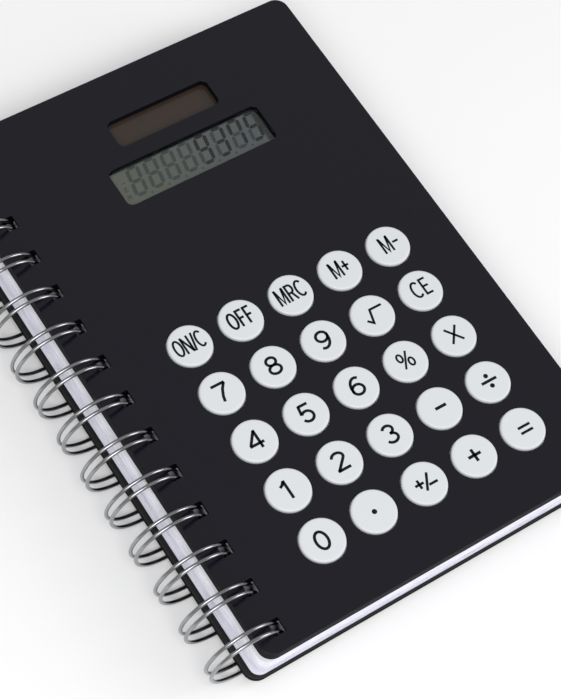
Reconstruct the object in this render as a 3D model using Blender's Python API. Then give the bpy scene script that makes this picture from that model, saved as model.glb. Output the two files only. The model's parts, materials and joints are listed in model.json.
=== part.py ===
"""Wire-bound notebook with a solar calculator built into its front cover.

The notebook lies level on its binding loops: +Z is up, +X runs from the spine to the fore-edge,
+Y runs from the keypad to the display. The origin is the bottom centre of the bounding box.
Everything that turns does so about the axis of the binding loops, which lies along Y.
"""
import math

import bmesh
import bpy
from mathutils import Vector

MM = 0.001
GAP = 0.05 * MM

# Twin-loop binding, two loops to the inch
LOOP_PITCH = 12.7 * MM
LOOP_COUNT = 14
LOOP_RADIUS = 11.1 * MM
WIRE_RADIUS = 0.55 * MM
LEG_SPACING = 2.7 * MM
LINK_BEND = 1.0 * MM
BASE_ANGLE = math.radians(-36.0)
TIP_ANGLE = math.radians(316.5)
LOOP_STEP = math.radians(22.5)
WIRE_SIDES = 6

# Notebook, measured from the loop axis
COVER_WIDTH = 119.0 * MM
COVER_HEIGHT = 178.0 * MM
COVER_SETBACK = 2.1 * MM
COVER_CORNER = 4.0 * MM
PAGE_WIDTH = 118.6 * MM
PAGE_HEIGHT = 177.6 * MM
PAGE_CORNER = 3.0 * MM
UPPER_PAGES_SETBACK = 0.9 * MM
LOWER_PAGES_SETBACK = 0.1 * MM
BACK_COVER_SETBACK = -0.9 * MM

# Binding slots, as (inner wall, outer wall at the underside, outer wall at the face) from the loop axis
SLOT_HEIGHT = 4.4 * MM
COVER_SLOT = (7.4 * MM, 11.6 * MM, 10.6 * MM)
PAGE_SLOT = (7.9 * MM, 12.1 * MM, 12.1 * MM)
BOARD_SLOT = (4.4 * MM, 9.0 * MM, 9.0 * MM)

# Heights of the stack above the table
BACK_COVER_Z = (2.10 * MM, 3.90 * MM)
LOWER_PAGES_Z = (6.05 * MM, 10.50 * MM)
UPPER_PAGES_Z = (10.60 * MM, 14.50 * MM)
COVER_Z = (14.75 * MM, 18.75 * MM)
PLATE_TOP = 15.50 * MM
DOOR_SEAT = 15.20 * MM
BOARD_Z = (15.60 * MM, 16.10 * MM)
MAT_Z = (16.15 * MM, 16.45 * MM)
FLANGE_Z = (17.20 * MM, 17.55 * MM)
CEILING = 17.60 * MM
KEY_TOP = 19.50 * MM

# Keypad, places on the cover counted from its lower left corner
KEY_PITCH = 16.8 * MM
KEY_FIRST = (30.7 * MM, 87.9 * MM)
KEY_RADIUS = 6.5 * MM
KEY_FLANGE_RADIUS = 7.2 * MM
KEY_EDGE = 0.35 * MM
KEY_HOLE_RADIUS = 6.75 * MM
KEY_SEGMENTS = 18
KEY_ROWS = (
    ("on_c", "off", "mrc", "m_plus", "m_minus"),
    ("7", "8", "9", "root", "ce"),
    ("4", "5", "6", "percent", "times"),
    ("1", "2", "3", "minus", "divide"),
    ("0", "point", "sign", "plus", "equals"),
)

# Windows and hollows of the cover, as (left, right, bottom, top) on the cover
DISPLAY_WINDOW = (39.6 * MM, 90.4 * MM, 134.9 * MM, 147.9 * MM)
SOLAR_WINDOW = (47.7 * MM, 81.9 * MM, 153.1 * MM, 162.5 * MM)
WINDOW_CORNER = 1.8 * MM
CAVITY = (20.0 * MM, 109.0 * MM, 9.5 * MM, 150.8 * MM)
SOLAR_POCKET = (45.4 * MM, 84.2 * MM, 151.2 * MM, 164.8 * MM)
LEAD_CHANNEL = (83.0 * MM, 98.0 * MM, 149.5 * MM, 158.5 * MM)
PLATE_OUTLINE = (15.5 * MM, 116.5 * MM, 5.0 * MM, 170.0 * MM)
PLATE_CORNER = 2.0 * MM
POCKET_CEILING = 16.60 * MM

# Electronics
BOARD_OUTLINE = (21.0 * MM, 108.0 * MM, 10.5 * MM, 130.8 * MM)
MAT_OUTLINE = (22.0 * MM, 107.5 * MM, 11.5 * MM, 96.6 * MM)
REAR_GLASS = (37.6 * MM, 92.4 * MM, 131.2 * MM, 150.2 * MM)
FRONT_GLASS = (37.6 * MM, 92.4 * MM, 133.6 * MM, 150.2 * MM)
FRONT_GLASS_TOP = 16.95 * MM
LENS = (36.6 * MM, 93.4 * MM, 132.4 * MM, 150.4 * MM)
LENS_BOTTOM = 17.05 * MM
RIBBON = (42.0 * MM, 88.0 * MM, 128.4 * MM, 133.3 * MM)
RIBBON_THICKNESS = 0.12 * MM
SOLAR_CELL = (46.2 * MM, 83.4 * MM, 152.0 * MM, 164.0 * MM)
CELL_CENTRE = (101.0 * MM, 112.0 * MM)
CELL_RADIUS = 5.8 * MM
CELL_Z = (15.25 * MM, 17.30 * MM)
CELL_HOLE_RADIUS = 6.3 * MM
DOOR_OUTLINE = (92.5 * MM, 114.6 * MM, 103.5 * MM, 120.5 * MM)
DOOR_SCREW = (112.0 * MM, 112.0 * MM)
DOOR_CLEARANCE = 0.15 * MM
DOOR_SCREW_HEAD = 0.3 * MM
DOOR_SINK_RADIUS = 2.1 * MM
CHIP_CENTRE = (60.0 * MM, 113.0 * MM)
CHIP_RADIUS = 4.5 * MM
CHIP_HEIGHT = 1.1 * MM
CAPACITOR = (73.0 * MM, 76.2 * MM, 112.2 * MM, 113.8 * MM)
CAPACITOR_HEIGHT = 1.2 * MM
LEAD_RADIUS = 0.22 * MM
LEAD_CORNER = (95.0 * MM, 155.0 * MM)
LEAD_BEND = 1.0 * MM
LEAD_END = 127.0 * MM
CONTACT_SHEET = 0.14 * MM
CONTACT_FOOT = 2.0 * MM
GLASS_CORNER = 0.3 * MM
ROUND_SEGMENTS = 24
CHIP_SEGMENTS = 16

# Screws
SCREW_SHANK_RADIUS = 0.9 * MM
SCREW_HEAD_RADIUS = 1.8 * MM
SCREW_HEAD_HEIGHT = 0.4 * MM
SCREW_HOLE_RADIUS = 1.15 * MM
SCREW_SINK_RADIUS = 2.0 * MM
SCREW_LENGTH = 2.6 * MM
SCREW_SEGMENTS = 12
PLATE_SCREWS = ((18.0 * MM, 8.0 * MM), (114.0 * MM, 8.0 * MM), (18.0 * MM, 167.0 * MM),
                (114.0 * MM, 167.0 * MM))

REACH = 5.0 * MM

LOOP_X = (LOOP_RADIUS + WIRE_RADIUS - COVER_SETBACK - COVER_WIDTH) / 2
LOOP_Z = LOOP_RADIUS + WIRE_RADIUS
COVER_LEFT = LOOP_X + COVER_SETBACK
COVER_BOTTOM = -COVER_HEIGHT / 2


# ---------------------------------------------------------------- helpers
def clear_scene():
    """Remove every object already in the file."""
    for thing in list(bpy.data.objects):
        bpy.data.objects.remove(thing, do_unlink=True)


def principled(name, colour, roughness, metallic=0.0, alpha=1.0):
    """Return a Principled material."""
    made = bpy.data.materials.new(name)
    made.use_nodes = True
    shader = made.node_tree.nodes["Principled BSDF"]
    shader.inputs["Base Color"].default_value = (*colour, 1.0)
    shader.inputs["Roughness"].default_value = roughness
    shader.inputs["Metallic"].default_value = metallic
    shader.inputs["Alpha"].default_value = alpha
    return made


def add_object(name, shape, finish=None, origin=(0.0, 0.0, 0.0), parent=None):
    """Turn a bmesh in world coordinates into an object whose origin is at the given point."""
    bmesh.ops.recalc_face_normals(shape, faces=shape.faces)
    bmesh.ops.translate(shape, verts=shape.verts, vec=-Vector(origin))
    mesh = bpy.data.meshes.new(name)
    shape.to_mesh(mesh)
    shape.free()
    thing = bpy.data.objects.new(name, mesh)
    bpy.context.scene.collection.objects.link(thing)
    if parent is None:
        thing.location = origin
    else:
        thing.parent = parent
        thing.location = Vector(origin) - parent.matrix_world.translation
    if finish is not None:
        mesh.materials.append(finish)
    return thing


def smooth(thing, angle=40.0):
    """Shade a round piece smooth and keep its corners sharp."""
    thing.data.shade_smooth()
    thing.data.set_sharp_from_angle(angle=math.radians(angle))


def on_cover(u, v):
    """Return the X and Y of a place on the cover counted from its lower left corner."""
    return COVER_LEFT + u, COVER_BOTTOM + v


def cover_box(box):
    """Return (left, right, bottom, top) in X and Y of a rectangle given on the cover."""
    left, bottom = on_cover(box[0], box[2])
    right, top = on_cover(box[1], box[3])
    return left, right, bottom, top


def rounded_outline(box, radius, steps=3):
    """Return the points of a rectangle with round corners, anticlockwise."""
    left, right, bottom, top = box
    if radius == 0:
        return [(left, bottom), (right, bottom), (right, top), (left, top)]
    corners = ((right - radius, bottom + radius, -90), (right - radius, top - radius, 0),
               (left + radius, top - radius, 90), (left + radius, bottom + radius, 180))
    points = []
    for x, y, start in corners:
        for step in range(steps + 1):
            angle = math.radians(start + 90 * step / steps)
            points.append((x + radius * math.cos(angle), y + radius * math.sin(angle)))
    return points


def circle_outline(x, y, radius, segments):
    """Return the points of a circle, anticlockwise."""
    return [(x + radius * math.cos(math.tau * i / segments),
             y + radius * math.sin(math.tau * i / segments)) for i in range(segments)]


def add_extrusion(shape, corners, across):
    """Extrude a flat face, given by its corners, along a vector inside a bmesh."""
    face = shape.faces.new([shape.verts.new(corner) for corner in corners])
    grown = bmesh.ops.extrude_face_region(shape, geom=[face])["geom"]
    moved = [item for item in grown if isinstance(item, bmesh.types.BMVert)]
    bmesh.ops.translate(shape, verts=moved, vec=across)


def add_prism(shape, outline, low, high):
    """Extrude an outline upwards from one height to another inside a bmesh."""
    add_extrusion(shape, [(x, y, low) for x, y in outline], (0, 0, high - low))


def prism(outline, low, high):
    """Return a bmesh that holds one prism."""
    shape = bmesh.new()
    add_prism(shape, outline, low, high)
    return shape


def lathe(profile, x, y, segments):
    """Turn a profile of (radius, z) points, from bottom centre to top centre, about a vertical axis."""
    shape = bmesh.new()
    rings = []
    for radius, z in profile:
        rings.append([shape.verts.new((px, py, z)) for px, py in circle_outline(x, y, radius, segments)])
    for lower, upper in zip(rings, rings[1:]):
        for i in range(segments):
            j = (i + 1) % segments
            shape.faces.new((lower[i], lower[j], upper[j], upper[i]))
    shape.faces.new(list(reversed(rings[0])))
    shape.faces.new(rings[-1])
    return shape


def sweep(points, outwards, radius, sides):
    """Sweep a polygon along a path; outwards gives the direction of its first corner at each point."""
    shape = bmesh.new()
    rings = []
    for i, (point, outward) in enumerate(zip(points, outwards)):
        before = points[max(i - 1, 0)]
        after = points[min(i + 1, len(points) - 1)]
        along = (after - before).normalized()
        side = along.cross(outward).normalized()
        up = side.cross(along)
        ring = []
        for k in range(sides):
            turn = math.tau * k / sides
            ring.append(shape.verts.new(point + radius * (up * math.cos(turn) + side * math.sin(turn))))
        rings.append(ring)
    for lower, upper in zip(rings, rings[1:]):
        for k in range(sides):
            m = (k + 1) % sides
            shape.faces.new((lower[k], lower[m], upper[m], upper[k]))
    shape.faces.new(rings[0])
    shape.faces.new(list(reversed(rings[-1])))
    return shape


def cut(thing, shape, name):
    """Cut a bmesh out of an object with a Boolean modifier."""
    cutter = add_object(name, shape)
    cutter.hide_render = True
    cutter.display_type = "WIRE"
    boolean = thing.modifiers.new(name, "BOOLEAN")
    boolean.operation = "DIFFERENCE"
    boolean.solver = "EXACT"
    boolean.object = cutter


def loop_centres():
    """Return the Y of each twin loop, from the bottom edge to the top edge."""
    first = -(LOOP_COUNT - 1) / 2 * LOOP_PITCH
    return [first + i * LOOP_PITCH for i in range(LOOP_COUNT)]


def slot_row(shape, slot, low, high):
    """Add the row of binding slots, whose outer walls may lean, to a cutter."""
    inner, outer_low, outer_high = slot
    lean = (outer_low - outer_high) * MM / (high - low)
    section = ((inner, low - MM), (outer_low + lean, low - MM), (outer_high - lean, high + MM),
               (inner, high + MM))
    for y in loop_centres():
        corners = [(LOOP_X + across, y - SLOT_HEIGHT / 2, z) for across, z in section]
        add_extrusion(shape, corners, (0, SLOT_HEIGHT, 0))


# ---------------------------------------------------------------- binding and book block
def make_binding_wire(parent):
    """The wire comb: twin loops joined by straight links along the base of the seam."""
    path = []
    half = LEG_SPACING / 2
    bend = LINK_BEND / LOOP_RADIUS
    leg_start = BASE_ANGLE + bend
    tip_turn = TIP_ANGLE - half / LOOP_RADIUS
    first_step = math.ceil(leg_start / LOOP_STEP)
    last_step = math.floor(tip_turn / LOOP_STEP)
    leg = [leg_start] + [LOOP_STEP * i for i in range(first_step, last_step + 1)] + [tip_turn]
    for y in loop_centres():
        path.append((BASE_ANGLE, y - half - LINK_BEND))
        path.append((BASE_ANGLE + 0.3 * bend, y - half - 0.3 * LINK_BEND))
        path += [(angle, y - half) for angle in leg]
        for turn in (45, 90, 135):
            angle = tip_turn + half / LOOP_RADIUS * math.sin(math.radians(turn))
            path.append((angle, y - half * math.cos(math.radians(turn))))
        path += [(angle, y + half) for angle in reversed(leg)]
        path.append((BASE_ANGLE + 0.3 * bend, y + half + 0.3 * LINK_BEND))
        path.append((BASE_ANGLE, y + half + LINK_BEND))
    outwards = [Vector((math.cos(angle), 0, math.sin(angle))) for angle, _ in path]
    points = [Vector((LOOP_X, y, LOOP_Z)) + LOOP_RADIUS * out for (_, y), out in zip(path, outwards)]
    steel = principled("nickel_plated_steel", (0.72, 0.73, 0.75), 0.18, 1.0)
    wire = add_object("binding_wire", sweep(points, outwards, WIRE_RADIUS, WIRE_SIDES), steel,
                      (LOOP_X, 0, LOOP_Z), parent)
    smooth(wire, 65)


def make_sheet_stack(name, setback, width, height, corner, levels, slot, finish, parent):
    """A cover board or a stack of pages with its row of binding slots."""
    low, high = levels
    box = (LOOP_X + setback, LOOP_X + setback + width, -height / 2, height / 2)
    stack = add_object(name, prism(rounded_outline(box, corner), low, high), finish,
                       (LOOP_X, 0, LOOP_Z), parent)
    slots = bmesh.new()
    slot_row(slots, slot, low, high)
    cut(stack, slots, name + "_slots")
    return stack


def make_back_cover(parent):
    """The stiff back cover board, which the wire loops pass through."""
    board = principled("black_board", (0.018, 0.018, 0.021), 0.5)
    make_sheet_stack("back_cover", BACK_COVER_SETBACK, COVER_WIDTH, COVER_HEIGHT, COVER_CORNER,
                     BACK_COVER_Z, BOARD_SLOT, board, parent)


def make_pages(name, setback, levels, parent):
    """Half of the ruled pages, turned as one block."""
    paper = principled(name + "_paper", (0.80, 0.80, 0.86), 0.85)
    make_sheet_stack(name, setback, PAGE_WIDTH, PAGE_HEIGHT, PAGE_CORNER, levels, PAGE_SLOT, paper,
                     parent)


# ---------------------------------------------------------------- front cover
def key_place(row, column):
    """Return the X and Y of a key's centre."""
    return on_cover(KEY_FIRST[0] + column * KEY_PITCH, KEY_FIRST[1] - row * KEY_PITCH)


def make_cover_shell(parent):
    """The moulded front cover, hollow from below, with its key holes, windows and wire slots."""
    abs_plastic = principled("black_abs", (0.020, 0.020, 0.024), 0.32)
    low, high = COVER_Z
    outline = rounded_outline(cover_box((0, COVER_WIDTH, 0, COVER_HEIGHT)), COVER_CORNER)
    shell = add_object("cover_shell", prism(outline, low, high), abs_plastic, (LOOP_X, 0, LOOP_Z), parent)

    recess = cover_box(PLATE_OUTLINE)
    recess = (recess[0] - GAP * 3, recess[1] + GAP * 3, recess[2] - GAP * 3, recess[3] + GAP * 3)
    cut(shell, prism(rounded_outline(recess, PLATE_CORNER), low - REACH, PLATE_TOP + GAP), "plate_recess")
    cut(shell, prism(rounded_outline(cover_box(CAVITY), PLATE_CORNER), low - REACH, CEILING), "cavity")
    pocket = prism(rounded_outline(cover_box(SOLAR_POCKET), 0), low - REACH, POCKET_CEILING)
    cut(shell, pocket, "solar_pocket")
    channel = prism(rounded_outline(cover_box(LEAD_CHANNEL), 0), low - REACH, POCKET_CEILING + GAP)
    cut(shell, channel, "lead_channel")

    openings = bmesh.new()
    for row in range(len(KEY_ROWS)):
        for column in range(len(KEY_ROWS[row])):
            hole = circle_outline(*key_place(row, column), KEY_HOLE_RADIUS, KEY_SEGMENTS)
            add_prism(openings, hole, CEILING - MM, high + MM)
    for window, floor in ((DISPLAY_WINDOW, CEILING), (SOLAR_WINDOW, POCKET_CEILING)):
        add_prism(openings, rounded_outline(cover_box(window), WINDOW_CORNER), floor - MM, high + MM)
    slot_row(openings, COVER_SLOT, low, high)
    cut(shell, openings, "cover_openings")

    holes = bmesh.new()
    for place in PLATE_SCREWS + (DOOR_SCREW,):
        hole = circle_outline(*on_cover(*place), SCREW_HOLE_RADIUS, SCREW_SEGMENTS)
        add_prism(holes, hole, low - MM, CEILING + GAP * 2)
    cut(shell, holes, "screw_holes")
    return shell


def make_back_plate(parent):
    """The plate that closes the hollow from below, with the opening for the button cell."""
    plastic = principled("black_polystyrene", (0.030, 0.030, 0.034), 0.45)
    low = COVER_Z[0]
    outline = rounded_outline(cover_box(PLATE_OUTLINE), PLATE_CORNER)
    plate = add_object("cover_back_plate", prism(outline, low, PLATE_TOP), plastic,
                       (LOOP_X, 0, LOOP_Z), parent)

    seats = bmesh.new()
    for place in PLATE_SCREWS:
        sink = circle_outline(*on_cover(*place), SCREW_SINK_RADIUS, SCREW_SEGMENTS)
        add_prism(seats, sink, low - MM, DOOR_SEAT)
    add_prism(seats, rounded_outline(cover_box(DOOR_OUTLINE), MM), low - MM, DOOR_SEAT)
    cut(plate, seats, "screw_and_door_seats")

    holes = bmesh.new()
    for place in PLATE_SCREWS + (DOOR_SCREW,):
        hole = circle_outline(*on_cover(*place), SCREW_HOLE_RADIUS, SCREW_SEGMENTS)
        add_prism(holes, hole, low - MM, PLATE_TOP + MM)
    cell_hole = circle_outline(*on_cover(*CELL_CENTRE), CELL_HOLE_RADIUS, ROUND_SEGMENTS)
    add_prism(holes, cell_hole, low - MM, PLATE_TOP + MM)
    cut(plate, holes, "plate_holes")


def make_key(name, place, finish, parent):
    """One key cap: a round button with a flange that keeps it under the cover's skin."""
    profile = ((KEY_FLANGE_RADIUS, FLANGE_Z[0]), (KEY_FLANGE_RADIUS, FLANGE_Z[1]),
               (KEY_RADIUS, FLANGE_Z[1]), (KEY_RADIUS, KEY_TOP - KEY_EDGE),
               (KEY_RADIUS - KEY_EDGE, KEY_TOP))
    key = add_object("key_" + name, lathe(profile, *place, KEY_SEGMENTS), finish,
                     (*place, FLANGE_Z[0]), parent)
    smooth(key)


def make_keys(parent):
    """The five rows of key caps."""
    for row, names in enumerate(KEY_ROWS):
        for column, name in enumerate(names):
            white = principled("white_key_" + name, (0.80, 0.81, 0.82), 0.4)
            make_key(name, key_place(row, column), white, parent)


def make_keypad_mat(parent):
    """The silicone contact mat that lies on the circuit board under the keys."""
    rubber = principled("grey_silicone", (0.30, 0.31, 0.32), 0.7)
    outline = rounded_outline(cover_box(MAT_OUTLINE), MM)
    add_object("keypad_mat", prism(outline, *MAT_Z), rubber, (LOOP_X, 0, LOOP_Z), parent)


def make_circuit_board(parent):
    """The circuit board, with the round opening that the button cell sits in."""
    laminate = principled("green_laminate", (0.02, 0.16, 0.07), 0.4)
    outline = rounded_outline(cover_box(BOARD_OUTLINE), MM)
    board = add_object("circuit_board", prism(outline, *BOARD_Z), laminate, (LOOP_X, 0, LOOP_Z), parent)
    hole = circle_outline(*on_cover(*CELL_CENTRE), CELL_HOLE_RADIUS, ROUND_SEGMENTS)
    cut(board, prism(hole, BOARD_Z[0] - MM, BOARD_Z[1] + MM), "cell_opening")


def make_flat_piece(name, box, levels, corner, finish, parent):
    """A flat piece with round corners, such as a glass or a lens."""
    outline = rounded_outline(cover_box(box), corner)
    return add_object(name, prism(outline, *levels), finish, (LOOP_X, 0, LOOP_Z), parent)


def make_display(parent):
    """The liquid crystal display: two glasses, the lens above them and the ribbon to the board."""
    rear = principled("reflector_glass", (0.30, 0.34, 0.30), 0.3)
    make_flat_piece("lcd_rear_glass", REAR_GLASS, BOARD_Z, GLASS_CORNER, rear, parent)
    front = principled("polarised_glass", (0.11, 0.14, 0.11), 0.25)
    make_flat_piece("lcd_front_glass", FRONT_GLASS, (BOARD_Z[1] + GAP, FRONT_GLASS_TOP), GLASS_CORNER,
                    front, parent)
    acrylic = principled("clear_acrylic", (0.90, 0.92, 0.92), 0.05, alpha=0.3)
    make_flat_piece("display_lens", LENS, (LENS_BOTTOM, CEILING - GAP), MM, acrylic, parent)
    film = principled("ribbon_film", (0.45, 0.25, 0.08), 0.4)
    low = BOARD_Z[1] + GAP
    make_flat_piece("lcd_ribbon", RIBBON, (low, low + RIBBON_THICKNESS), 0, film, parent)


def make_solar_cell(parent):
    """The amorphous silicon cell on its glass, seen through the upper window."""
    silicon = principled("amorphous_silicon", (0.055, 0.040, 0.035), 0.2)
    make_flat_piece("solar_cell", SOLAR_CELL, (BOARD_Z[0], POCKET_CEILING - GAP), GLASS_CORNER, silicon,
                    parent)


def make_lead(name, offset, colour, parent):
    """A thin insulated lead from the solar cell, past the display, to the circuit board."""
    height = BOARD_Z[1] + GAP + LEAD_RADIUS
    start = SOLAR_CELL[1] + 2 * GAP
    corner_u = LEAD_CORNER[0] + offset
    corner_v = LEAD_CORNER[1] + offset
    inset = LEAD_BEND * (1 - math.cos(math.radians(45)))
    places = [(start, corner_v), (corner_u - LEAD_BEND, corner_v), (corner_u - inset, corner_v - inset),
              (corner_u, corner_v - LEAD_BEND), (corner_u, LEAD_END)]
    points = [Vector((*on_cover(u, v), height)) for u, v in places]
    outwards = [Vector((0, 0, 1))] * len(points)
    insulation = principled(name + "_insulation", colour, 0.5)
    lead = add_object(name, sweep(points, outwards, LEAD_RADIUS, WIRE_SIDES), insulation,
                      (LOOP_X, 0, LOOP_Z), parent)
    smooth(lead, 65)


def make_cell(parent):
    """The alkaline button cell, its can crimped round a smaller cap."""
    steel = principled("button_cell_steel", (0.70, 0.70, 0.70), 0.3, 1.0)
    low, high = CELL_Z
    profile = ((CELL_RADIUS - 0.2 * MM, low), (CELL_RADIUS, low + 0.2 * MM), (CELL_RADIUS, high - 0.5 * MM),
               (CELL_RADIUS - 0.7 * MM, high - 0.3 * MM), (CELL_RADIUS - 1.0 * MM, high))
    cell = add_object("button_cell", lathe(profile, *on_cover(*CELL_CENTRE), ROUND_SEGMENTS), steel,
                      (LOOP_X, 0, LOOP_Z), parent)
    smooth(cell)


def make_contacts(parent):
    """The two sprung contact strips of the button cell, bent from nickel-plated sheet."""
    nickel = principled("nickel_strip", (0.65, 0.62, 0.55), 0.3, 1.0)
    sheet = CONTACT_SHEET
    foot = BOARD_Z[1] + GAP
    x, y = on_cover(*CELL_CENTRE)
    top = CELL_Z[1] + GAP
    wall = x - CELL_HOLE_RADIUS - MM
    outline = ((x, top), (x, top + sheet), (wall, top + sheet), (wall, foot + sheet),
               (wall - CONTACT_FOOT, foot + sheet), (wall - CONTACT_FOOT, foot), (wall + sheet, foot),
               (wall + sheet, top))
    add_strip("negative_contact", outline, (y - 2 * MM, y + 2 * MM), True, nickel, parent)
    side = y + CELL_RADIUS + 2 * GAP
    step = y + CELL_HOLE_RADIUS + 0.4 * MM
    outline = ((side, foot + 0.5 * MM), (side + sheet, foot + 0.5 * MM), (step, foot),
               (step + CONTACT_FOOT, foot), (step + CONTACT_FOOT, foot + sheet), (step + sheet, foot + sheet),
               (side + 2 * sheet, foot + 0.7 * MM), (side, foot + 0.7 * MM))
    add_strip("positive_contact", outline, (x - MM, x + MM), False, nickel, parent)


def add_strip(name, outline, span, along_y, finish, parent):
    """Extrude a bent strip's side view across the strip's width."""
    shape = bmesh.new()
    first, last = span
    if along_y:
        add_extrusion(shape, [(a, first, z) for a, z in outline], (0, last - first, 0))
    else:
        add_extrusion(shape, [(first, a, z) for a, z in outline], (last - first, 0, 0))
    add_object(name, shape, finish, (LOOP_X, 0, LOOP_Z), parent)


def make_board_parts(parent):
    """The calculator chip under its drop of resin, and the supply capacitor."""
    resin = principled("black_resin", (0.012, 0.012, 0.013), 0.35)
    low = BOARD_Z[1] + GAP
    profile = [(CHIP_RADIUS, low)]
    for angle in (20, 40, 60, 80):
        turn = math.radians(angle)
        profile.append((CHIP_RADIUS * math.cos(turn), low + CHIP_HEIGHT * math.sin(turn)))
    chip = add_object("processor_chip", lathe(profile, *on_cover(*CHIP_CENTRE), CHIP_SEGMENTS), resin,
                      (LOOP_X, 0, LOOP_Z), parent)
    smooth(chip)
    ceramic = principled("capacitor_ceramic", (0.42, 0.30, 0.18), 0.5)
    make_flat_piece("supply_capacitor", CAPACITOR, (low, low + CAPACITOR_HEIGHT), 0.2 * MM, ceramic, parent)


def make_battery_door(parent):
    """The door over the button cell, flush with the plate, held by its own screw."""
    plastic = principled("door_polystyrene", (0.030, 0.030, 0.034), 0.45)
    left, right, bottom, top = cover_box(DOOR_OUTLINE)
    box = (left + DOOR_CLEARANCE, right - DOOR_CLEARANCE, bottom + DOOR_CLEARANCE, top - DOOR_CLEARANCE)
    door = add_object("battery_door", prism(rounded_outline(box, MM), COVER_Z[0], DOOR_SEAT - GAP), plastic,
                      (LOOP_X, 0, LOOP_Z), parent)
    sink = ((DOOR_SINK_RADIUS, COVER_Z[0] - GAP), (SCREW_HOLE_RADIUS, DOOR_SEAT - GAP),
            (SCREW_HOLE_RADIUS, DOOR_SEAT + GAP))
    cut(door, lathe(sink, *on_cover(*DOOR_SCREW), SCREW_SEGMENTS), "door_screw_sink")


def make_screw(name, place, head, parent):
    """A small screw that points up into the shell; head is a profile that starts at the head's face."""
    steel = principled(name + "_steel", (0.30, 0.30, 0.31), 0.35, 1.0)
    profile = head + ((SCREW_SHANK_RADIUS, head[-1][1]), (SCREW_SHANK_RADIUS, head[0][1] + SCREW_LENGTH))
    screw = add_object(name, lathe(profile, *on_cover(*place), SCREW_SEGMENTS), steel,
                       (LOOP_X, 0, LOOP_Z), parent)
    smooth(screw)


def make_screws(parent):
    """The four flat-headed plate screws in their seats, and the door's countersunk screw."""
    face = DOOR_SEAT - GAP - SCREW_HEAD_HEIGHT
    flat_head = ((SCREW_HEAD_RADIUS, face), (SCREW_HEAD_RADIUS, DOOR_SEAT - GAP))
    for number, place in enumerate(PLATE_SCREWS, 1):
        make_screw("plate_screw_%d" % number, place, flat_head, parent)
    face = COVER_Z[0] + GAP
    cone_head = ((SCREW_HEAD_RADIUS, face), (SCREW_SHANK_RADIUS + GAP, face + DOOR_SCREW_HEAD))
    make_screw("door_screw", DOOR_SCREW, cone_head, parent)


def make_hinge_frame(name, parent=None):
    """An empty on the axis of the binding loops, which the pieces of one leaf hang from."""
    frame = bpy.data.objects.new(name, None)
    bpy.context.scene.collection.objects.link(frame)
    if parent is None:
        frame.location = (LOOP_X, 0, LOOP_Z)
    else:
        frame.parent = parent
    bpy.context.view_layer.update()
    return frame


def main():
    clear_scene()
    back = make_hinge_frame("back_frame")
    lower = make_hinge_frame("lower_pages_hinge", back)
    upper = make_hinge_frame("upper_pages_hinge", lower)
    front = make_hinge_frame("front_cover_hinge", upper)
    make_binding_wire(back)
    make_back_cover(back)
    make_pages("lower_pages", LOWER_PAGES_SETBACK, LOWER_PAGES_Z, lower)
    make_pages("upper_pages", UPPER_PAGES_SETBACK, UPPER_PAGES_Z, upper)
    make_cover_shell(front)
    make_back_plate(front)
    make_keys(front)
    make_keypad_mat(front)
    make_circuit_board(front)
    make_display(front)
    make_solar_cell(front)
    make_lead("solar_lead_positive", 0.5 * MM, (0.5, 0.02, 0.02), front)
    make_lead("solar_lead_negative", -0.5 * MM, (0.01, 0.01, 0.01), front)
    make_cell(front)
    make_contacts(front)
    make_board_parts(front)
    make_battery_door(front)
    make_screws(front)


main()
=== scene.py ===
"""Looks of a wire-bound notebook whose front cover holds a solar calculator.

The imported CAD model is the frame. Each sub-assembly is a class that models its visible pieces in
the frame's metres and dresses them; hidden CAD pieces keep their shape and get their real finish.
"""

import json
import logging
import math
import random
from dataclasses import dataclass, field, replace
from enum import Enum
from typing import Callable, Iterable, Sequence

import bmesh
import bpy
from mathutils import Matrix, Vector

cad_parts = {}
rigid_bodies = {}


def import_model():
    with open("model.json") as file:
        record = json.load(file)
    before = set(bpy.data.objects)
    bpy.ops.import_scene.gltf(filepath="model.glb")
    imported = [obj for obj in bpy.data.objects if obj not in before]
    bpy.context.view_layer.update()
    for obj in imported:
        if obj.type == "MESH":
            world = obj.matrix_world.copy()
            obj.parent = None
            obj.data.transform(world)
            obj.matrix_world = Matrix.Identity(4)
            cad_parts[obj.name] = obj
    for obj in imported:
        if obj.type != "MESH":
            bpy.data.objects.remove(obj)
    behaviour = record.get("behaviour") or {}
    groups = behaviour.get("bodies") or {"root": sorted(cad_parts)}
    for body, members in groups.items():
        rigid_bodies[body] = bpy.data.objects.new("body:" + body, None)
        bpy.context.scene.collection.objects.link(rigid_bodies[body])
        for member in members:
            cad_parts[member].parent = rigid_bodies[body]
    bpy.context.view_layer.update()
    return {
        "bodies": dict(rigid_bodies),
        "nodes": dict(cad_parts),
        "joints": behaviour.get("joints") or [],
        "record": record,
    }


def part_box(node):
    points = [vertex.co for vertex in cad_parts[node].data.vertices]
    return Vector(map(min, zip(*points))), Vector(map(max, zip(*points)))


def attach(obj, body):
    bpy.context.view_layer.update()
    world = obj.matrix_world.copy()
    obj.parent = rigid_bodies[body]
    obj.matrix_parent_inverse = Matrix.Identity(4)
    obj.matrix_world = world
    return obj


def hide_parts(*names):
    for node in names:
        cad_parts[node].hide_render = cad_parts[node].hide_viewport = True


MM = 0.001
LOG = logging.getLogger("notebook_calculator")
Point = tuple[float, float]
Span = tuple[float, float]
# Places nearer to each other than this count as one place, and directions with this cosine as one.
TOUCH = 0.001 * MM
ALIGNED = 0.999
UP = Vector((0, 0, 1))
# An edge sharper than the first angle is eased; shading is smooth across edges up to the second, in degrees.
SHARP_ANGLE = 40.0
SMOOTH_ANGLE = 50.0


# ---------------------------------------------------------------- modelling tools
class Element(Enum):
    """What edit mode selects."""

    EDGE = "EDGE"
    FACE = "FACE"


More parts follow.
